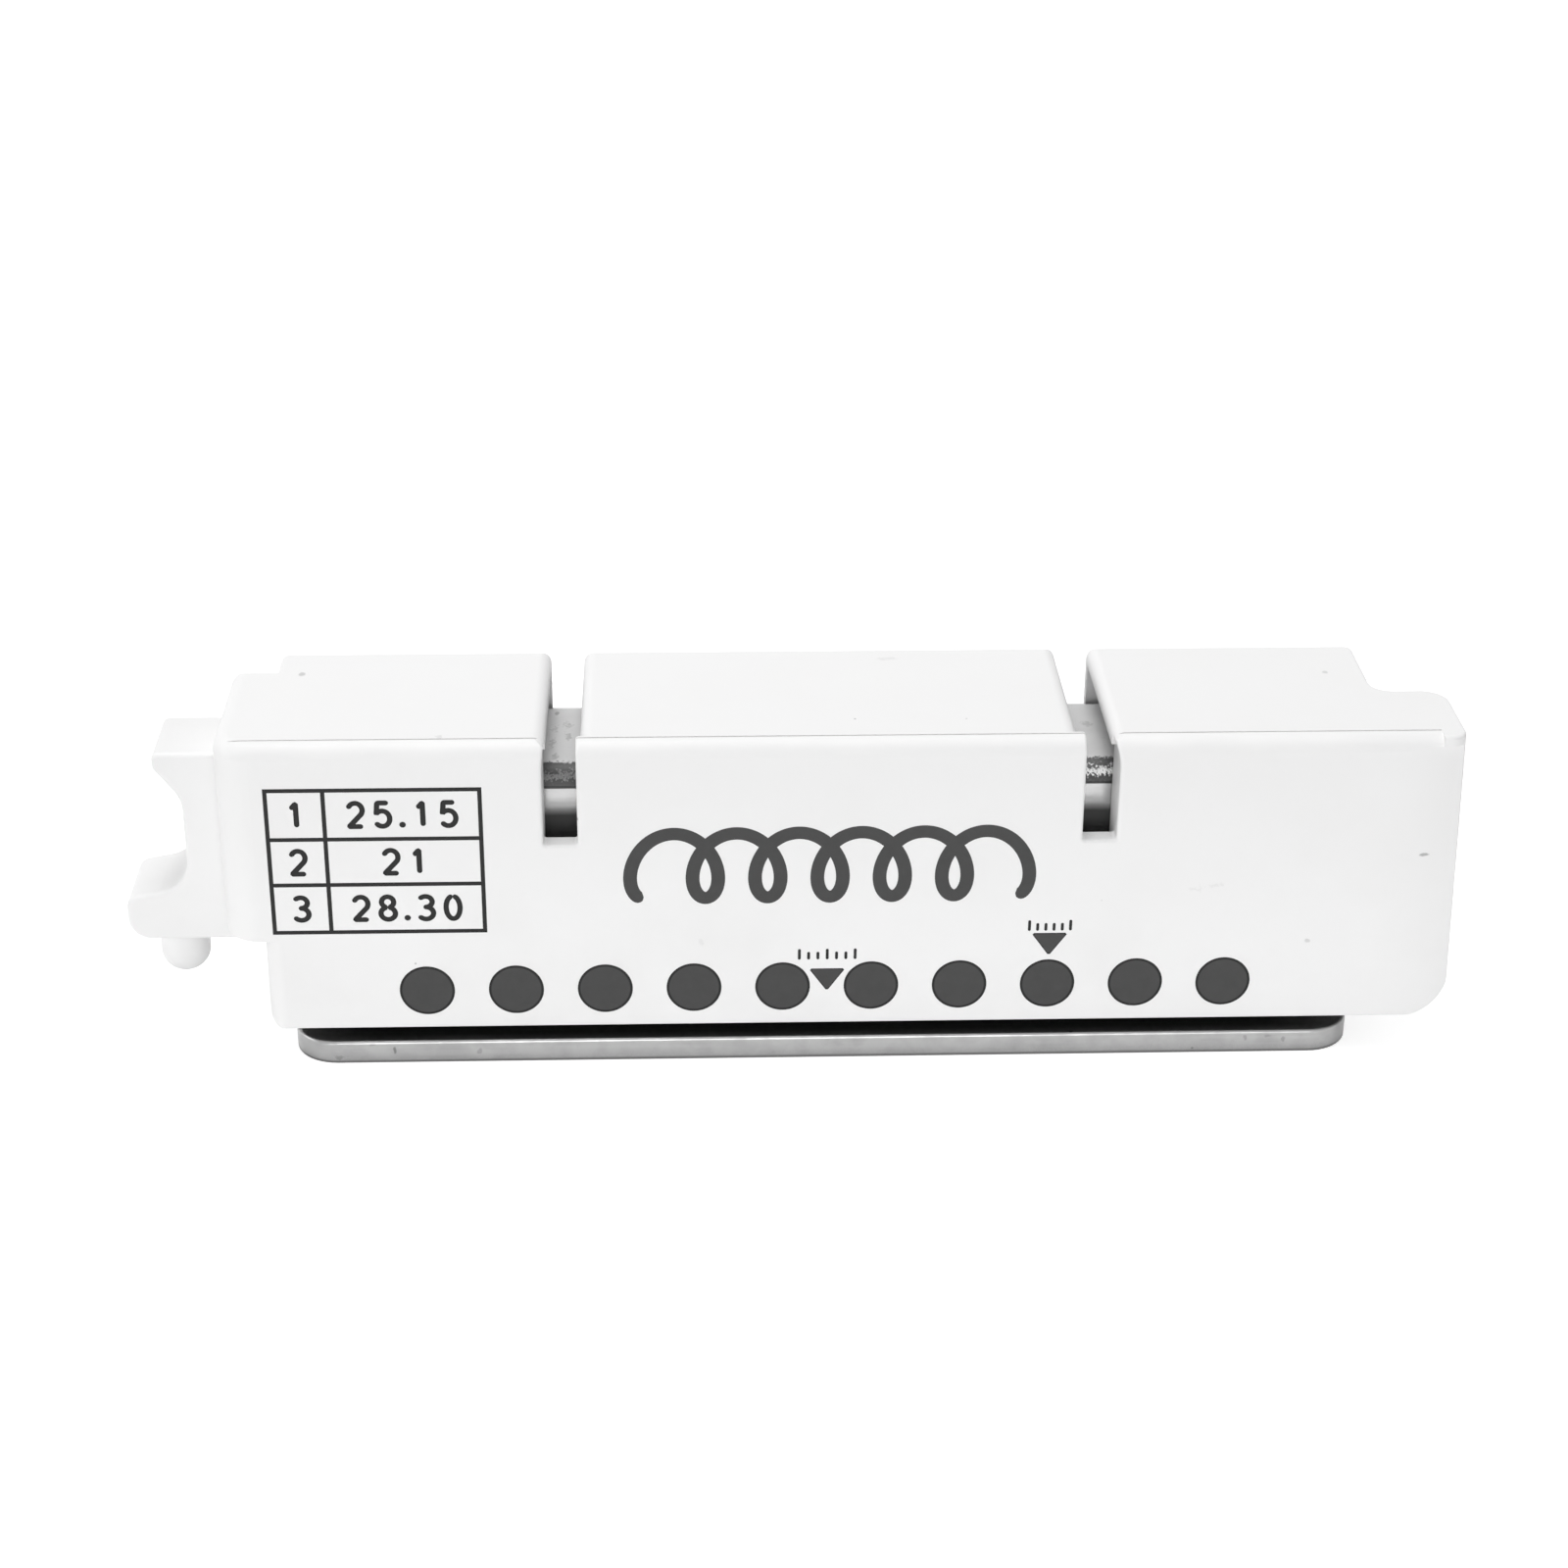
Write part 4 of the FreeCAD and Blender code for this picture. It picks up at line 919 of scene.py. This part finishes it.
def spot(outline: np.ndarray, front: float, proud: float, sunk: float) -> Shape:
    """A filled patch of ink inside a convex outline.

    Copies of the outline are drawn in towards its middle by fixed shares and end in one point there. The back
    is the outline again, closed by a point of its own. The rim value falls from the outline inwards.

    Args:
        outline: The outline, as rows of X and Z.
        front: The Y of the casing's front.
        proud: How far the ink stands out.
        sunk: How far it reaches into the casing.

    Returns:
        The patch as a closed shape.
    """
    shares = np.array([1.0, 1.0, 0.93, 0.89, 0.6, 0.3])
    rims = np.array([1.0, 1.0, 1.0, 0.0, 0.0, 0.0])
    depths = np.array([front + sunk] + [front - proud] * (len(shares) - 1))
    middle = outline.mean(axis=0)
    flat = middle + shares[:, None, None] * (outline - middle)[None, :, :]
    columns = len(outline)
    high = np.broadcast_to(depths[:, None], flat.shape[:2])
    rows = np.stack([flat[:, :, 0], high, flat[:, :, 1]], axis=-1)
    poles = np.array([[middle[0], front + sunk, middle[1]], [middle[0], front - proud, middle[1]]])
    points = np.concatenate([rows.reshape(-1, 3), poles])
    last = (len(shares) - 1) * columns
    column = np.arange(columns)
    ahead = (column + 1) % columns
    back = np.stack([ahead, column, np.full(columns, len(points) - 2)], axis=1)
    face = np.stack([last + column, last + ahead, np.full(columns, len(points) - 1)], axis=1)
    rim = np.concatenate([np.repeat(rims, columns), [0.0, 0.0]])
    return Shape(points, [grid_faces(len(shares), columns, False), back, face], rim).outward()


def circle(middle: Pair, radius: float, count: int = 64) -> np.ndarray:
    """Points evenly round a circle."""
    angle = np.linspace(0.0, 2 * math.pi, count, endpoint=False)
    return np.stack([middle[0] + radius * np.cos(angle), middle[1] + radius * np.sin(angle)], axis=1)


def bow(middle: Pair, reach: Pair, start: float, end: float, count: int = 40) -> np.ndarray:
    """Part of an ellipse, from one angle to another in degrees."""
    angle = np.radians(np.linspace(start, end, count))
    return np.stack([middle[0] + reach[0] * np.cos(angle), middle[1] + reach[1] * np.sin(angle)], axis=1)


def runs(*corners: Pair) -> np.ndarray:
    """Straight runs between corners."""
    return np.array(corners, float)


def numeral_strokes(sign: str) -> list[np.ndarray]:
    """The lines that draw one numeral, in a cell one wide and one high.

    Args:
        sign: The numeral.

    Returns:
        One path for each line.
    """
    strokes = {
        "0": [bow((0.5, 0.5), (0.48, 0.5), 90, 450)],
        "1": [runs((0.22, 0.76), (0.58, 1.0), (0.58, 0.0))],
        "2": [np.concatenate([bow((0.5, 0.7), (0.48, 0.3), 168, -38), runs((0.04, 0.0), (0.98, 0.0))])],
        "3": [np.concatenate([bow((0.46, 0.765), (0.46, 0.235), 155, -90), runs((0.3, 0.53))]),
              np.concatenate([runs((0.3, 0.53)), bow((0.46, 0.265), (0.52, 0.265), 90, -155)])],
        "5": [np.concatenate([runs((0.92, 1.0), (0.16, 1.0), (0.08, 0.52)),
                              bow((0.47, 0.33), (0.51, 0.33), 138, -152)])],
        "8": [bow((0.5, 0.765), (0.42, 0.235), -90, 270), bow((0.5, 0.265), (0.5, 0.265), 90, 450)],
    }
    return strokes[sign]


@dataclass
class FrontPrint:
    """The print on the casing's front: hole marks, size table, coil sign, two pointers and their ticks."""

    finishes: Finishes
    ink_height: float = 0.012
    ink_rise: float = 0.004
    layer_rise: float = 0.002
    ink_sunk: float = 0.05
    mark_diameter: float = 5.24
    mark_z: float = 7.95
    table_left: float = -52.1
    table_right: float = -32.37
    table_bottom: float = 14.4
    table_top: float = 29.3
    table_column: float = -46.8
    table_rows: Pair = (19.45, 24.23)
    table_line: float = 0.4
    numeral_height: float = 2.42
    numeral_width: float = 1.36
    numeral_step: float = 2.5
    numeral_line: float = 0.5
    dot_diameter: float = 0.6
    dot_points: int = 24
    dot_step_share: float = 0.72
    table_texts: tuple[tuple[str, str], ...] = (("1", "25.15"), ("2", "21"), ("3", "28.30"))
    sign_left: float = -18.07
    sign_right: float = 18.39
    sign_bottom: float = 16.96
    sign_top: float = 25.1
    sign_line: float = 1.3
    sign_turns: int = 6
    sign_steps_to_turn: int = 90
    sign_loop: float = 2.5
    pointer_half: float = 1.75
    pointer_drop: float = 2.47
    pointer_corner: float = 0.12
    centre_pointer_top: float = 9.85
    align_pointer_top: float = 13.45
    align_pin: str = PUNCH_PINS[7]
    tick_line: float = 0.28
    tick_height: float = 1.15
    short_tick_share: float = 0.72
    centre_tick_low: float = 1.0
    align_tick_low: float = 0.25
    centre_ticks: int = 7
    centre_tick_reach: float = 2.66
    align_ticks: int = 6
    align_tick_reach: float = 1.96
    front: float = field(init=False)

    def __post_init__(self) -> None:
        """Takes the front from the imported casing."""
        self.front = float(box_mm("casing")[0][1])

    def line(self, points: np.ndarray, width: float, layer: int = 0) -> Shape:
        """A line of ink that rises a little on its way, so that no two lines that cross are equally high."""
        base = self.ink_height + layer * self.layer_rise
        return stroke(points, width, self.front, (base, base + self.ink_rise), self.ink_sunk)

    def filled(self, outline: np.ndarray) -> Shape:
        """A filled patch of ink."""
        return spot(outline, self.front, self.ink_height, self.ink_sunk)

    def show(self, name: str, shape: Shape, material: Material) -> None:
        """Adds one printed piece to the casing."""
        shape.to_object(name, material, Facing.FLAT)

    def hole_marks(self) -> None:
        """One round mark ahead of each punch."""
        for number, pin in enumerate(PUNCH_PINS, 1):
            outline = circle((middle_x(pin), self.mark_z), self.mark_diameter / 2)
            self.show(f"hole_mark_{number:02d}", self.filled(outline), self.finishes.ink)

    def table_lines(self) -> None:
        """The ruled table.

        A grid is laid over both edges of every line. Its cells that are lines are kept, each with a front, a
        back, and a wall on every side where its neighbour is left open.
        """
        half = self.table_line / 2
        columns = [self.table_left, self.table_column, self.table_right]
        rows = [self.table_bottom, *self.table_rows, self.table_top]
        xs = np.array([edge for x in columns for edge in (x - half, x + half)])
        zs = np.array([edge for z in rows for edge in (z - half, z + half)])
        depths = np.array([self.front - self.ink_height, self.front + self.ink_sunk])
        grid = np.stack(np.meshgrid(xs, depths, zs, indexing="ij"), axis=-1)
        number = np.arange(grid[..., 0].size).reshape(grid.shape[:3])
        kept = np.ones((len(xs) + 1, len(zs) + 1), bool)
        kept[2:-1:2, 2:-1:2] = False
        kept[[0, -1], :] = False
        kept[:, [0, -1]] = False
        faces = []
        for i, j in np.argwhere(kept):
            a, b, c, d = (i - 1, j - 1), (i, j - 1), (i, j), (i - 1, j)
            faces.append([number[x, 0, z] for x, z in (a, b, c, d)])
            faces.append([number[x, 1, z] for x, z in (d, c, b, a)])
            neighbours = ((a, b, (i, j - 1)), (b, c, (i + 1, j)), (c, d, (i, j + 1)), (d, a, (i - 1, j)))
            for near, far, beside in neighbours:
                if not kept[beside]:
                    wall = ((near, 0), (near, 1), (far, 1), (far, 0))
                    faces.append([number[x, depth, z] for (x, z), depth in wall])
        shape = Shape(grid.reshape(-1, 3), [np.array(faces)]).outward()
        self.show("size_table_lines", shape, self.finishes.fine_ink)

    def text_shapes(self, text: str, middle: Pair) -> list[Shape]:
        """Plain numbers centred on a point.

        Args:
            text: Numerals and dots; a dot takes less room than a numeral.
            middle: The X and Z of the text's middle.

        Returns:
            One shape for each line and dot.
        """
        shares = [self.dot_step_share if "." in pair else 1.0 for pair in zip(text, text[1:])]
        steps = [self.numeral_step * share for share in shares]
        places = np.concatenate([[0.0], np.cumsum(steps)])
        places += middle[0] - (places[0] + places[-1]) / 2
        low = middle[1] - self.numeral_height / 2
        shapes = []
        for sign, x in zip(text, places):
            if sign == ".":
                dot = circle((x, low + self.dot_diameter / 4), self.dot_diameter / 2, self.dot_points)
                shapes.append(self.filled(dot))
                continue
            for layer, path in enumerate(numeral_strokes(sign)):
                scaled = path * [self.numeral_width, self.numeral_height] + [x - self.numeral_width / 2, low]
                shapes.append(self.line(scaled, self.numeral_line, layer))
        return shapes

    def table_numbers(self) -> None:
        """Plain numbers in the table's cells, from the top row down."""
        edges = [self.table_top, *reversed(self.table_rows), self.table_bottom]
        left_middle = (self.table_left + self.table_column) / 2
        right_middle = (self.table_column + self.table_right) / 2
        for row, (label, value) in enumerate(self.table_texts):
            height = (edges[row] + edges[row + 1]) / 2
            shapes = self.text_shapes(label, (left_middle, height))
            shapes += self.text_shapes(value, (right_middle, height))
            self.show(f"size_table_row_{row + 1}", Shape.joined(shapes), self.finishes.fine_ink)

    def coil_sign(self) -> None:
        """A line that loops like a coil seen from its side.

        X runs on evenly with the turn and swings back by the loop's reach times its sine. Z swings by half of
        the sign's height times its cosine.
        """
        half = self.sign_line / 2
        turn = np.linspace(0.0, 2 * math.pi * self.sign_turns, self.sign_steps_to_turn * self.sign_turns + 1)
        length = self.sign_right - self.sign_left - 2 * half
        advance = length * turn / turn[-1]
        middle = (self.sign_bottom + self.sign_top) / 2
        swing = (self.sign_top - self.sign_bottom) / 2 - half
        x = self.sign_left + half + advance - self.sign_loop * np.sin(turn)
        z = middle - swing * np.cos(turn)
        self.show("coil_sign", self.line(np.stack([x, z], axis=1), self.sign_line), self.finishes.ink)

    def pointer(self, name: str, x: float, top: float) -> None:
        """A small triangle with softened corners that points down at a hole mark."""
        left, right = x - self.pointer_half, x + self.pointer_half
        corners = np.array([(left, top), (right, top), (x, top - self.pointer_drop)])
        before, after = np.roll(corners, 1, axis=0), np.roll(corners, -1, axis=0)
        share = self.pointer_corner / self.pointer_half
        outline = np.stack([corners + (beside - corners) * share for beside in (before, after)], axis=1)
        self.show(name, self.filled(outline.reshape(-1, 2)), self.finishes.ink)

    def ticks(self, name: str, x: float, low: float, count: int, reach: float) -> None:
        """A short scale of upright ticks, the middle and the outer ones a little longer."""
        shapes = []
        for share in np.linspace(-1.0, 1.0, count):
            height = self.tick_height * (1.0 if abs(share) in (0.0, 1.0) else self.short_tick_share)
            place = x + share * reach
            shapes.append(self.line(runs((place, low), (place, low + height)), self.tick_line))
        self.show(name, Shape.joined(shapes), self.finishes.fine_ink)

    def build(self) -> None:
        """Prints everything."""
        self.hole_marks()
        self.table_lines()
        self.table_numbers()
        self.coil_sign()
        align_x = middle_x(self.align_pin)
        self.pointer("centre_pointer", 0.0, self.centre_pointer_top)
        self.pointer("align_pointer", align_x, self.align_pointer_top)
        self.ticks("centre_ticks", 0.0, self.centre_pointer_top + self.centre_tick_low, self.centre_ticks,
                   self.centre_tick_reach)
        self.ticks("align_ticks", align_x, self.align_pointer_top + self.align_tick_low, self.align_ticks,
                   self.align_tick_reach)


@dataclass
class WoundSpring:
    """A compression spring with closed, ground ends."""

    node: str
    wire: float
    turns: float
    travel: float
    joint: str
    held: End
    material: Material
    steps_to_turn: int = 40
    sides: int = 14
    closed_turns: float = 1.0
    closed_pitch: float = 1.02
    ground_share: float = 0.42

    def build(self) -> None:
        """Winds the wire.

        The wire's middle line turns evenly at one radius. Its height rises by the closed pitch, in wires, in
        each closed end turn and evenly in between, with a soft change from one to the other. A circle is
        carried along it, and the parts beyond the ground ends are pressed flat.
        """
        low, high = box_mm(self.node)
        middle = (low + high) / 2
        radius = float(high[0] - low[0]) / 2 - self.wire / 2
        total = self.turns + 2 * self.closed_turns
        turn = np.linspace(0.0, total, int(total * self.steps_to_turn) + 1)
        closed_rise = self.wire * self.closed_pitch * self.closed_turns
        trim = self.wire * (0.5 - self.ground_share)
        bottom = float(low[2]) + self.wire / 2 - trim
        top = float(high[2]) - self.wire / 2 + trim
        knots = [0.0, self.closed_turns, total - self.closed_turns, total]
        rise = np.interp(turn, knots, [bottom, bottom + closed_rise, top - closed_rise, top])
        kernel = np.hanning(self.steps_to_turn // 2)
        padded = np.pad(rise, self.steps_to_turn, mode="edge")
        soft = np.convolve(padded, kernel / kernel.sum(), mode="same")[self.steps_to_turn:-self.steps_to_turn]
        angle = 2 * math.pi * turn
        outward = np.stack([np.cos(angle), np.sin(angle), np.zeros_like(angle)], axis=1)
        path = radius * outward + [middle[0], middle[1], 0.0]
        path[:, 2] = soft
        way = np.gradient(path, axis=0)
        way /= np.linalg.norm(way, axis=1)[:, None]
        upward = np.cross(way, outward)
        around = np.linspace(0.0, 2 * math.pi, self.sides, endpoint=False)
        ring = (outward[:, None, :] * np.cos(around)[None, :, None]
                + upward[:, None, :] * np.sin(around)[None, :, None]) * self.wire / 2
        points = path[:, None, :] + ring
        points[..., 2] = np.clip(points[..., 2], low[2], high[2])
        faces = grid_faces(len(turn), self.sides, False)
        start = np.arange(self.sides)[None, :]
        finish = start[:, ::-1] + self.sides * (len(turn) - 1)
        shape = Shape(points.reshape(-1, 3), [faces, start, finish]).outward()
        piece = shape.to_object(self.node + "_wound", self.material, Facing.SMOOTH)
        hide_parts(self.node)
        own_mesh(piece)


@dataclass
class Springs:
    """The two return springs of the press channel and the index arm's spring."""

    finishes: Finishes
    return_wire: float = 0.7
    return_turns: float = 8.0
    press_travel: float = 4.4
    index_wire: float = 0.3
    index_turns: float = 5.0
    index_travel: float = 4.0

    def build(self) -> None:
        """Winds all three."""
        for side in ("left", "right"):
            WoundSpring(f"return_spring_{side}", self.return_wire, self.return_turns, self.press_travel,
                        "press_slide", End.BOTTOM, self.finishes.wire).build()
        WoundSpring("index_spring", self.index_wire, self.index_turns, self.index_travel,
                    "index_lift", End.TOP, self.finishes.wire).build()


@dataclass
class PunchFrame:
    """The casing and everything fixed under it."""

    finishes: Finishes
    plates: tuple[str, ...] = ("die_plate", "gap_spacer", "guide_plate", "guide_bridge")
    fasteners: tuple[str, ...] = ("frame_screws", "casing_screws", "bridge_rivets")

    def build(self) -> None:
        """Dresses casing, plates, fasteners, posts and clips."""
        dress(["casing"], self.finishes.casing)
        dress(self.plates, self.finishes.plate)
        dress(self.fasteners, self.finishes.zinc)
        dress(["dowel_pins"], self.finishes.tool)
        dress(["guide_post_left", "guide_post_right", "index_rod"], self.finishes.bright)
        dress(["post_clips"], self.finishes.wire)


@dataclass
class PressHead:
    """The press channel with the comb, the punches and the bushes."""

    finishes: Finishes

    def build(self) -> None:
        """Dresses everything that moves down with the channel."""
        dress(["press_channel"], self.finishes.press)
        dress(["punch_comb"], self.finishes.plate)
        dress(["comb_spacers"], self.finishes.bright)
        dress(["comb_screws"], self.finishes.zinc)
        dress(["press_bush_left", "press_bush_right"], self.finishes.bronze)
        dress(PUNCH_PINS, self.finishes.tool)


@dataclass
class IndexArm:
    """The white arm that steps the paper on."""

    finishes: Finishes

    def build(self) -> None:
        """Dresses the arm."""
        dress(["index_arm"], self.finishes.arm)


@dataclass(frozen=True)
class Lamp:
    """A square soft lamp that faces the punch: place and side in millimetres, power in watts."""

    name: str
    place: Place
    side: float
    power: float

    def build(self) -> None:
        """Puts the lamp up and turns it towards the origin."""
        data = bpy.data.lights.new(self.name, "AREA")
        data.shape = "SQUARE"
        data.size = self.side * MM
        data.energy = self.power
        lamp = bpy.data.objects.new(self.name, data)
        lamp.location = Vector(self.place) * MM
        lamp.rotation_euler = lamp.location.to_track_quat("Z", "Y").to_euler()
        bpy.context.scene.collection.objects.link(lamp)


def turned(degrees: float, first: int, second: int) -> np.ndarray:
    """Rotation by an angle from one axis towards another.

    Args:
        degrees: The angle.
        first: The axis that it starts from, by number.
        second: The axis that it turns towards.

    Returns:
        A matrix of three rows.
    """
    angle = math.radians(degrees)
    matrix = np.eye(3)
    matrix[first, first] = matrix[second, second] = math.cos(angle)
    matrix[second, first] = math.sin(angle)
    matrix[first, second] = -math.sin(angle)
    return matrix


@dataclass
class Studio:
    """Pale floor, soft light and the camera at the photograph's angle."""

    floor_half: float = 3000.0
    floor_level: float = 0.86
    floor_lift: float = 0.66
    lift_near: float = 250.0
    lift_far: float = 700.0
    world_level: float = 0.28
    yaw: float = 2.233
    pitch: float = 26.346
    roll: float = 0.442
    camera_place: Place = (-13.93, -264.35, 152.62)
    focal_pixels: float = 3059.6
    image_pixels: float = 1600.0
    sensor: float = 36.0
    nearest: float = 10.0
    farthest: float = 20000.0
    lamps: tuple[Lamp, ...] = (
        Lamp("top_lamp", (-60.0, 90.0, 690.0), 400.0, 3.1),
        Lamp("front_lamp", (0.0, -900.0, 170.0), 300.0, 3.0),
        Lamp("left_lamp", (-850.0, -120.0, 330.0), 450.0, 1.6),
    )

    def camera(self) -> None:
        """The camera, turned by yaw, then pitch, then roll from a level view along +Y."""
        level = np.array([[1.0, 0.0, 0.0], [0.0, 0.0, -1.0], [0.0, 1.0, 0.0]])
        axes = turned(self.roll, 0, 1) @ turned(self.pitch, 1, 2) @ level @ turned(self.yaw, 0, 1)
        place = np.eye(4)
        place[:3, :3] = np.stack([axes[0], -axes[1], -axes[2]], axis=1)
        place[:3, 3] = np.array(self.camera_place) * MM
        data = bpy.data.cameras.new("camera")
        data.sensor_width = self.sensor
        data.lens = self.focal_pixels / self.image_pixels * self.sensor
        data.clip_start = self.nearest * MM
        data.clip_end = self.farthest * MM
        eye = bpy.data.objects.new("camera", data)
        eye.matrix_world = Matrix(place.tolist())
        bpy.context.scene.collection.objects.link(eye)
        bpy.context.scene.camera = eye

    @staticmethod
    def seen_directly(graph: Graph) -> Socket:
        """One for rays from the camera, a mirror or a pane of glass, and nought for the others."""
        path = graph.add("ShaderNodeLightPath").outputs
        direct = graph.math("ADD", path["Is Camera Ray"], path["Is Glossy Ray"])
        return graph.math("ADD", direct, path["Is Transmission Ray"], clamp=True)

    def world(self) -> None:
        """An even pale surround: white where it is seen, at a plain level where it lights."""
        world = bpy.data.worlds.new("studio")
        world.use_nodes = True
        bpy.context.scene.world = world
        graph = Graph(world.node_tree)
        lit, seen = (graph.add("ShaderNodeBackground", {"Color": grey(1.0), "Strength": strength}).outputs[0]
                     for strength in (self.world_level, 1.0))
        mixed = graph.add("ShaderNodeMixShader", {0: self.seen_directly(graph), 1: lit, 2: seen})
        graph.add("ShaderNodeOutputWorld", {"Surface": mixed.outputs[0]})

    def floor(self) -> None:
        """A pale floor that keeps the shadow and is lifted to white where it is seen, more so farther off."""
        half = self.floor_half * MM
        mesh = bpy.data.meshes.new("floor")
        corners = [(-half, -half, 0), (half, -half, 0), (half, half, 0), (-half, half, 0)]
        mesh.from_pydata(corners, [], [(0, 1, 2, 3)])
        material = bpy.data.materials.new("pale_floor")
        material.use_nodes = True
        graph = Graph(material.node_tree)
        matt = graph.add("ShaderNodeBsdfDiffuse", {"Color": grey(self.floor_level)})
        away = graph.vector("LENGTH", graph.place())
        lift = graph.span(away, self.lift_near * MM, self.lift_far * MM, self.floor_lift, 1.0)
        strength = graph.math("MULTIPLY", self.seen_directly(graph), lift)
        glow = graph.add("ShaderNodeEmission", {"Color": grey(1.0), "Strength": strength})
        both = graph.add("ShaderNodeAddShader", {0: matt.outputs[0], 1: glow.outputs[0]})
        graph.add("ShaderNodeOutputMaterial", {"Surface": both.outputs[0]})
        mesh.materials.append(material)
        floor = bpy.data.objects.new("floor", mesh)
        bpy.context.scene.collection.objects.link(floor)

    def build(self) -> None:
        """Sets the whole studio up."""
        self.camera()
        self.world()
        self.floor()
        for lamp in self.lamps:
            lamp.build()
        bpy.context.scene.view_settings.view_transform = "Standard"


def main() -> None:
    """Builds and dresses the punch, one sub-assembly after another."""
    logging.basicConfig(level=logging.INFO, format="%(message)s")
    Studio().build()
    finishes = Finishes(Effects())
    PunchFrame(finishes).build()
    PressHead(finishes).build()
    IndexArm(finishes).build()
    Springs(finishes).build()
    FrontPrint(finishes).build()


if __name__ == "__main__":
    main()
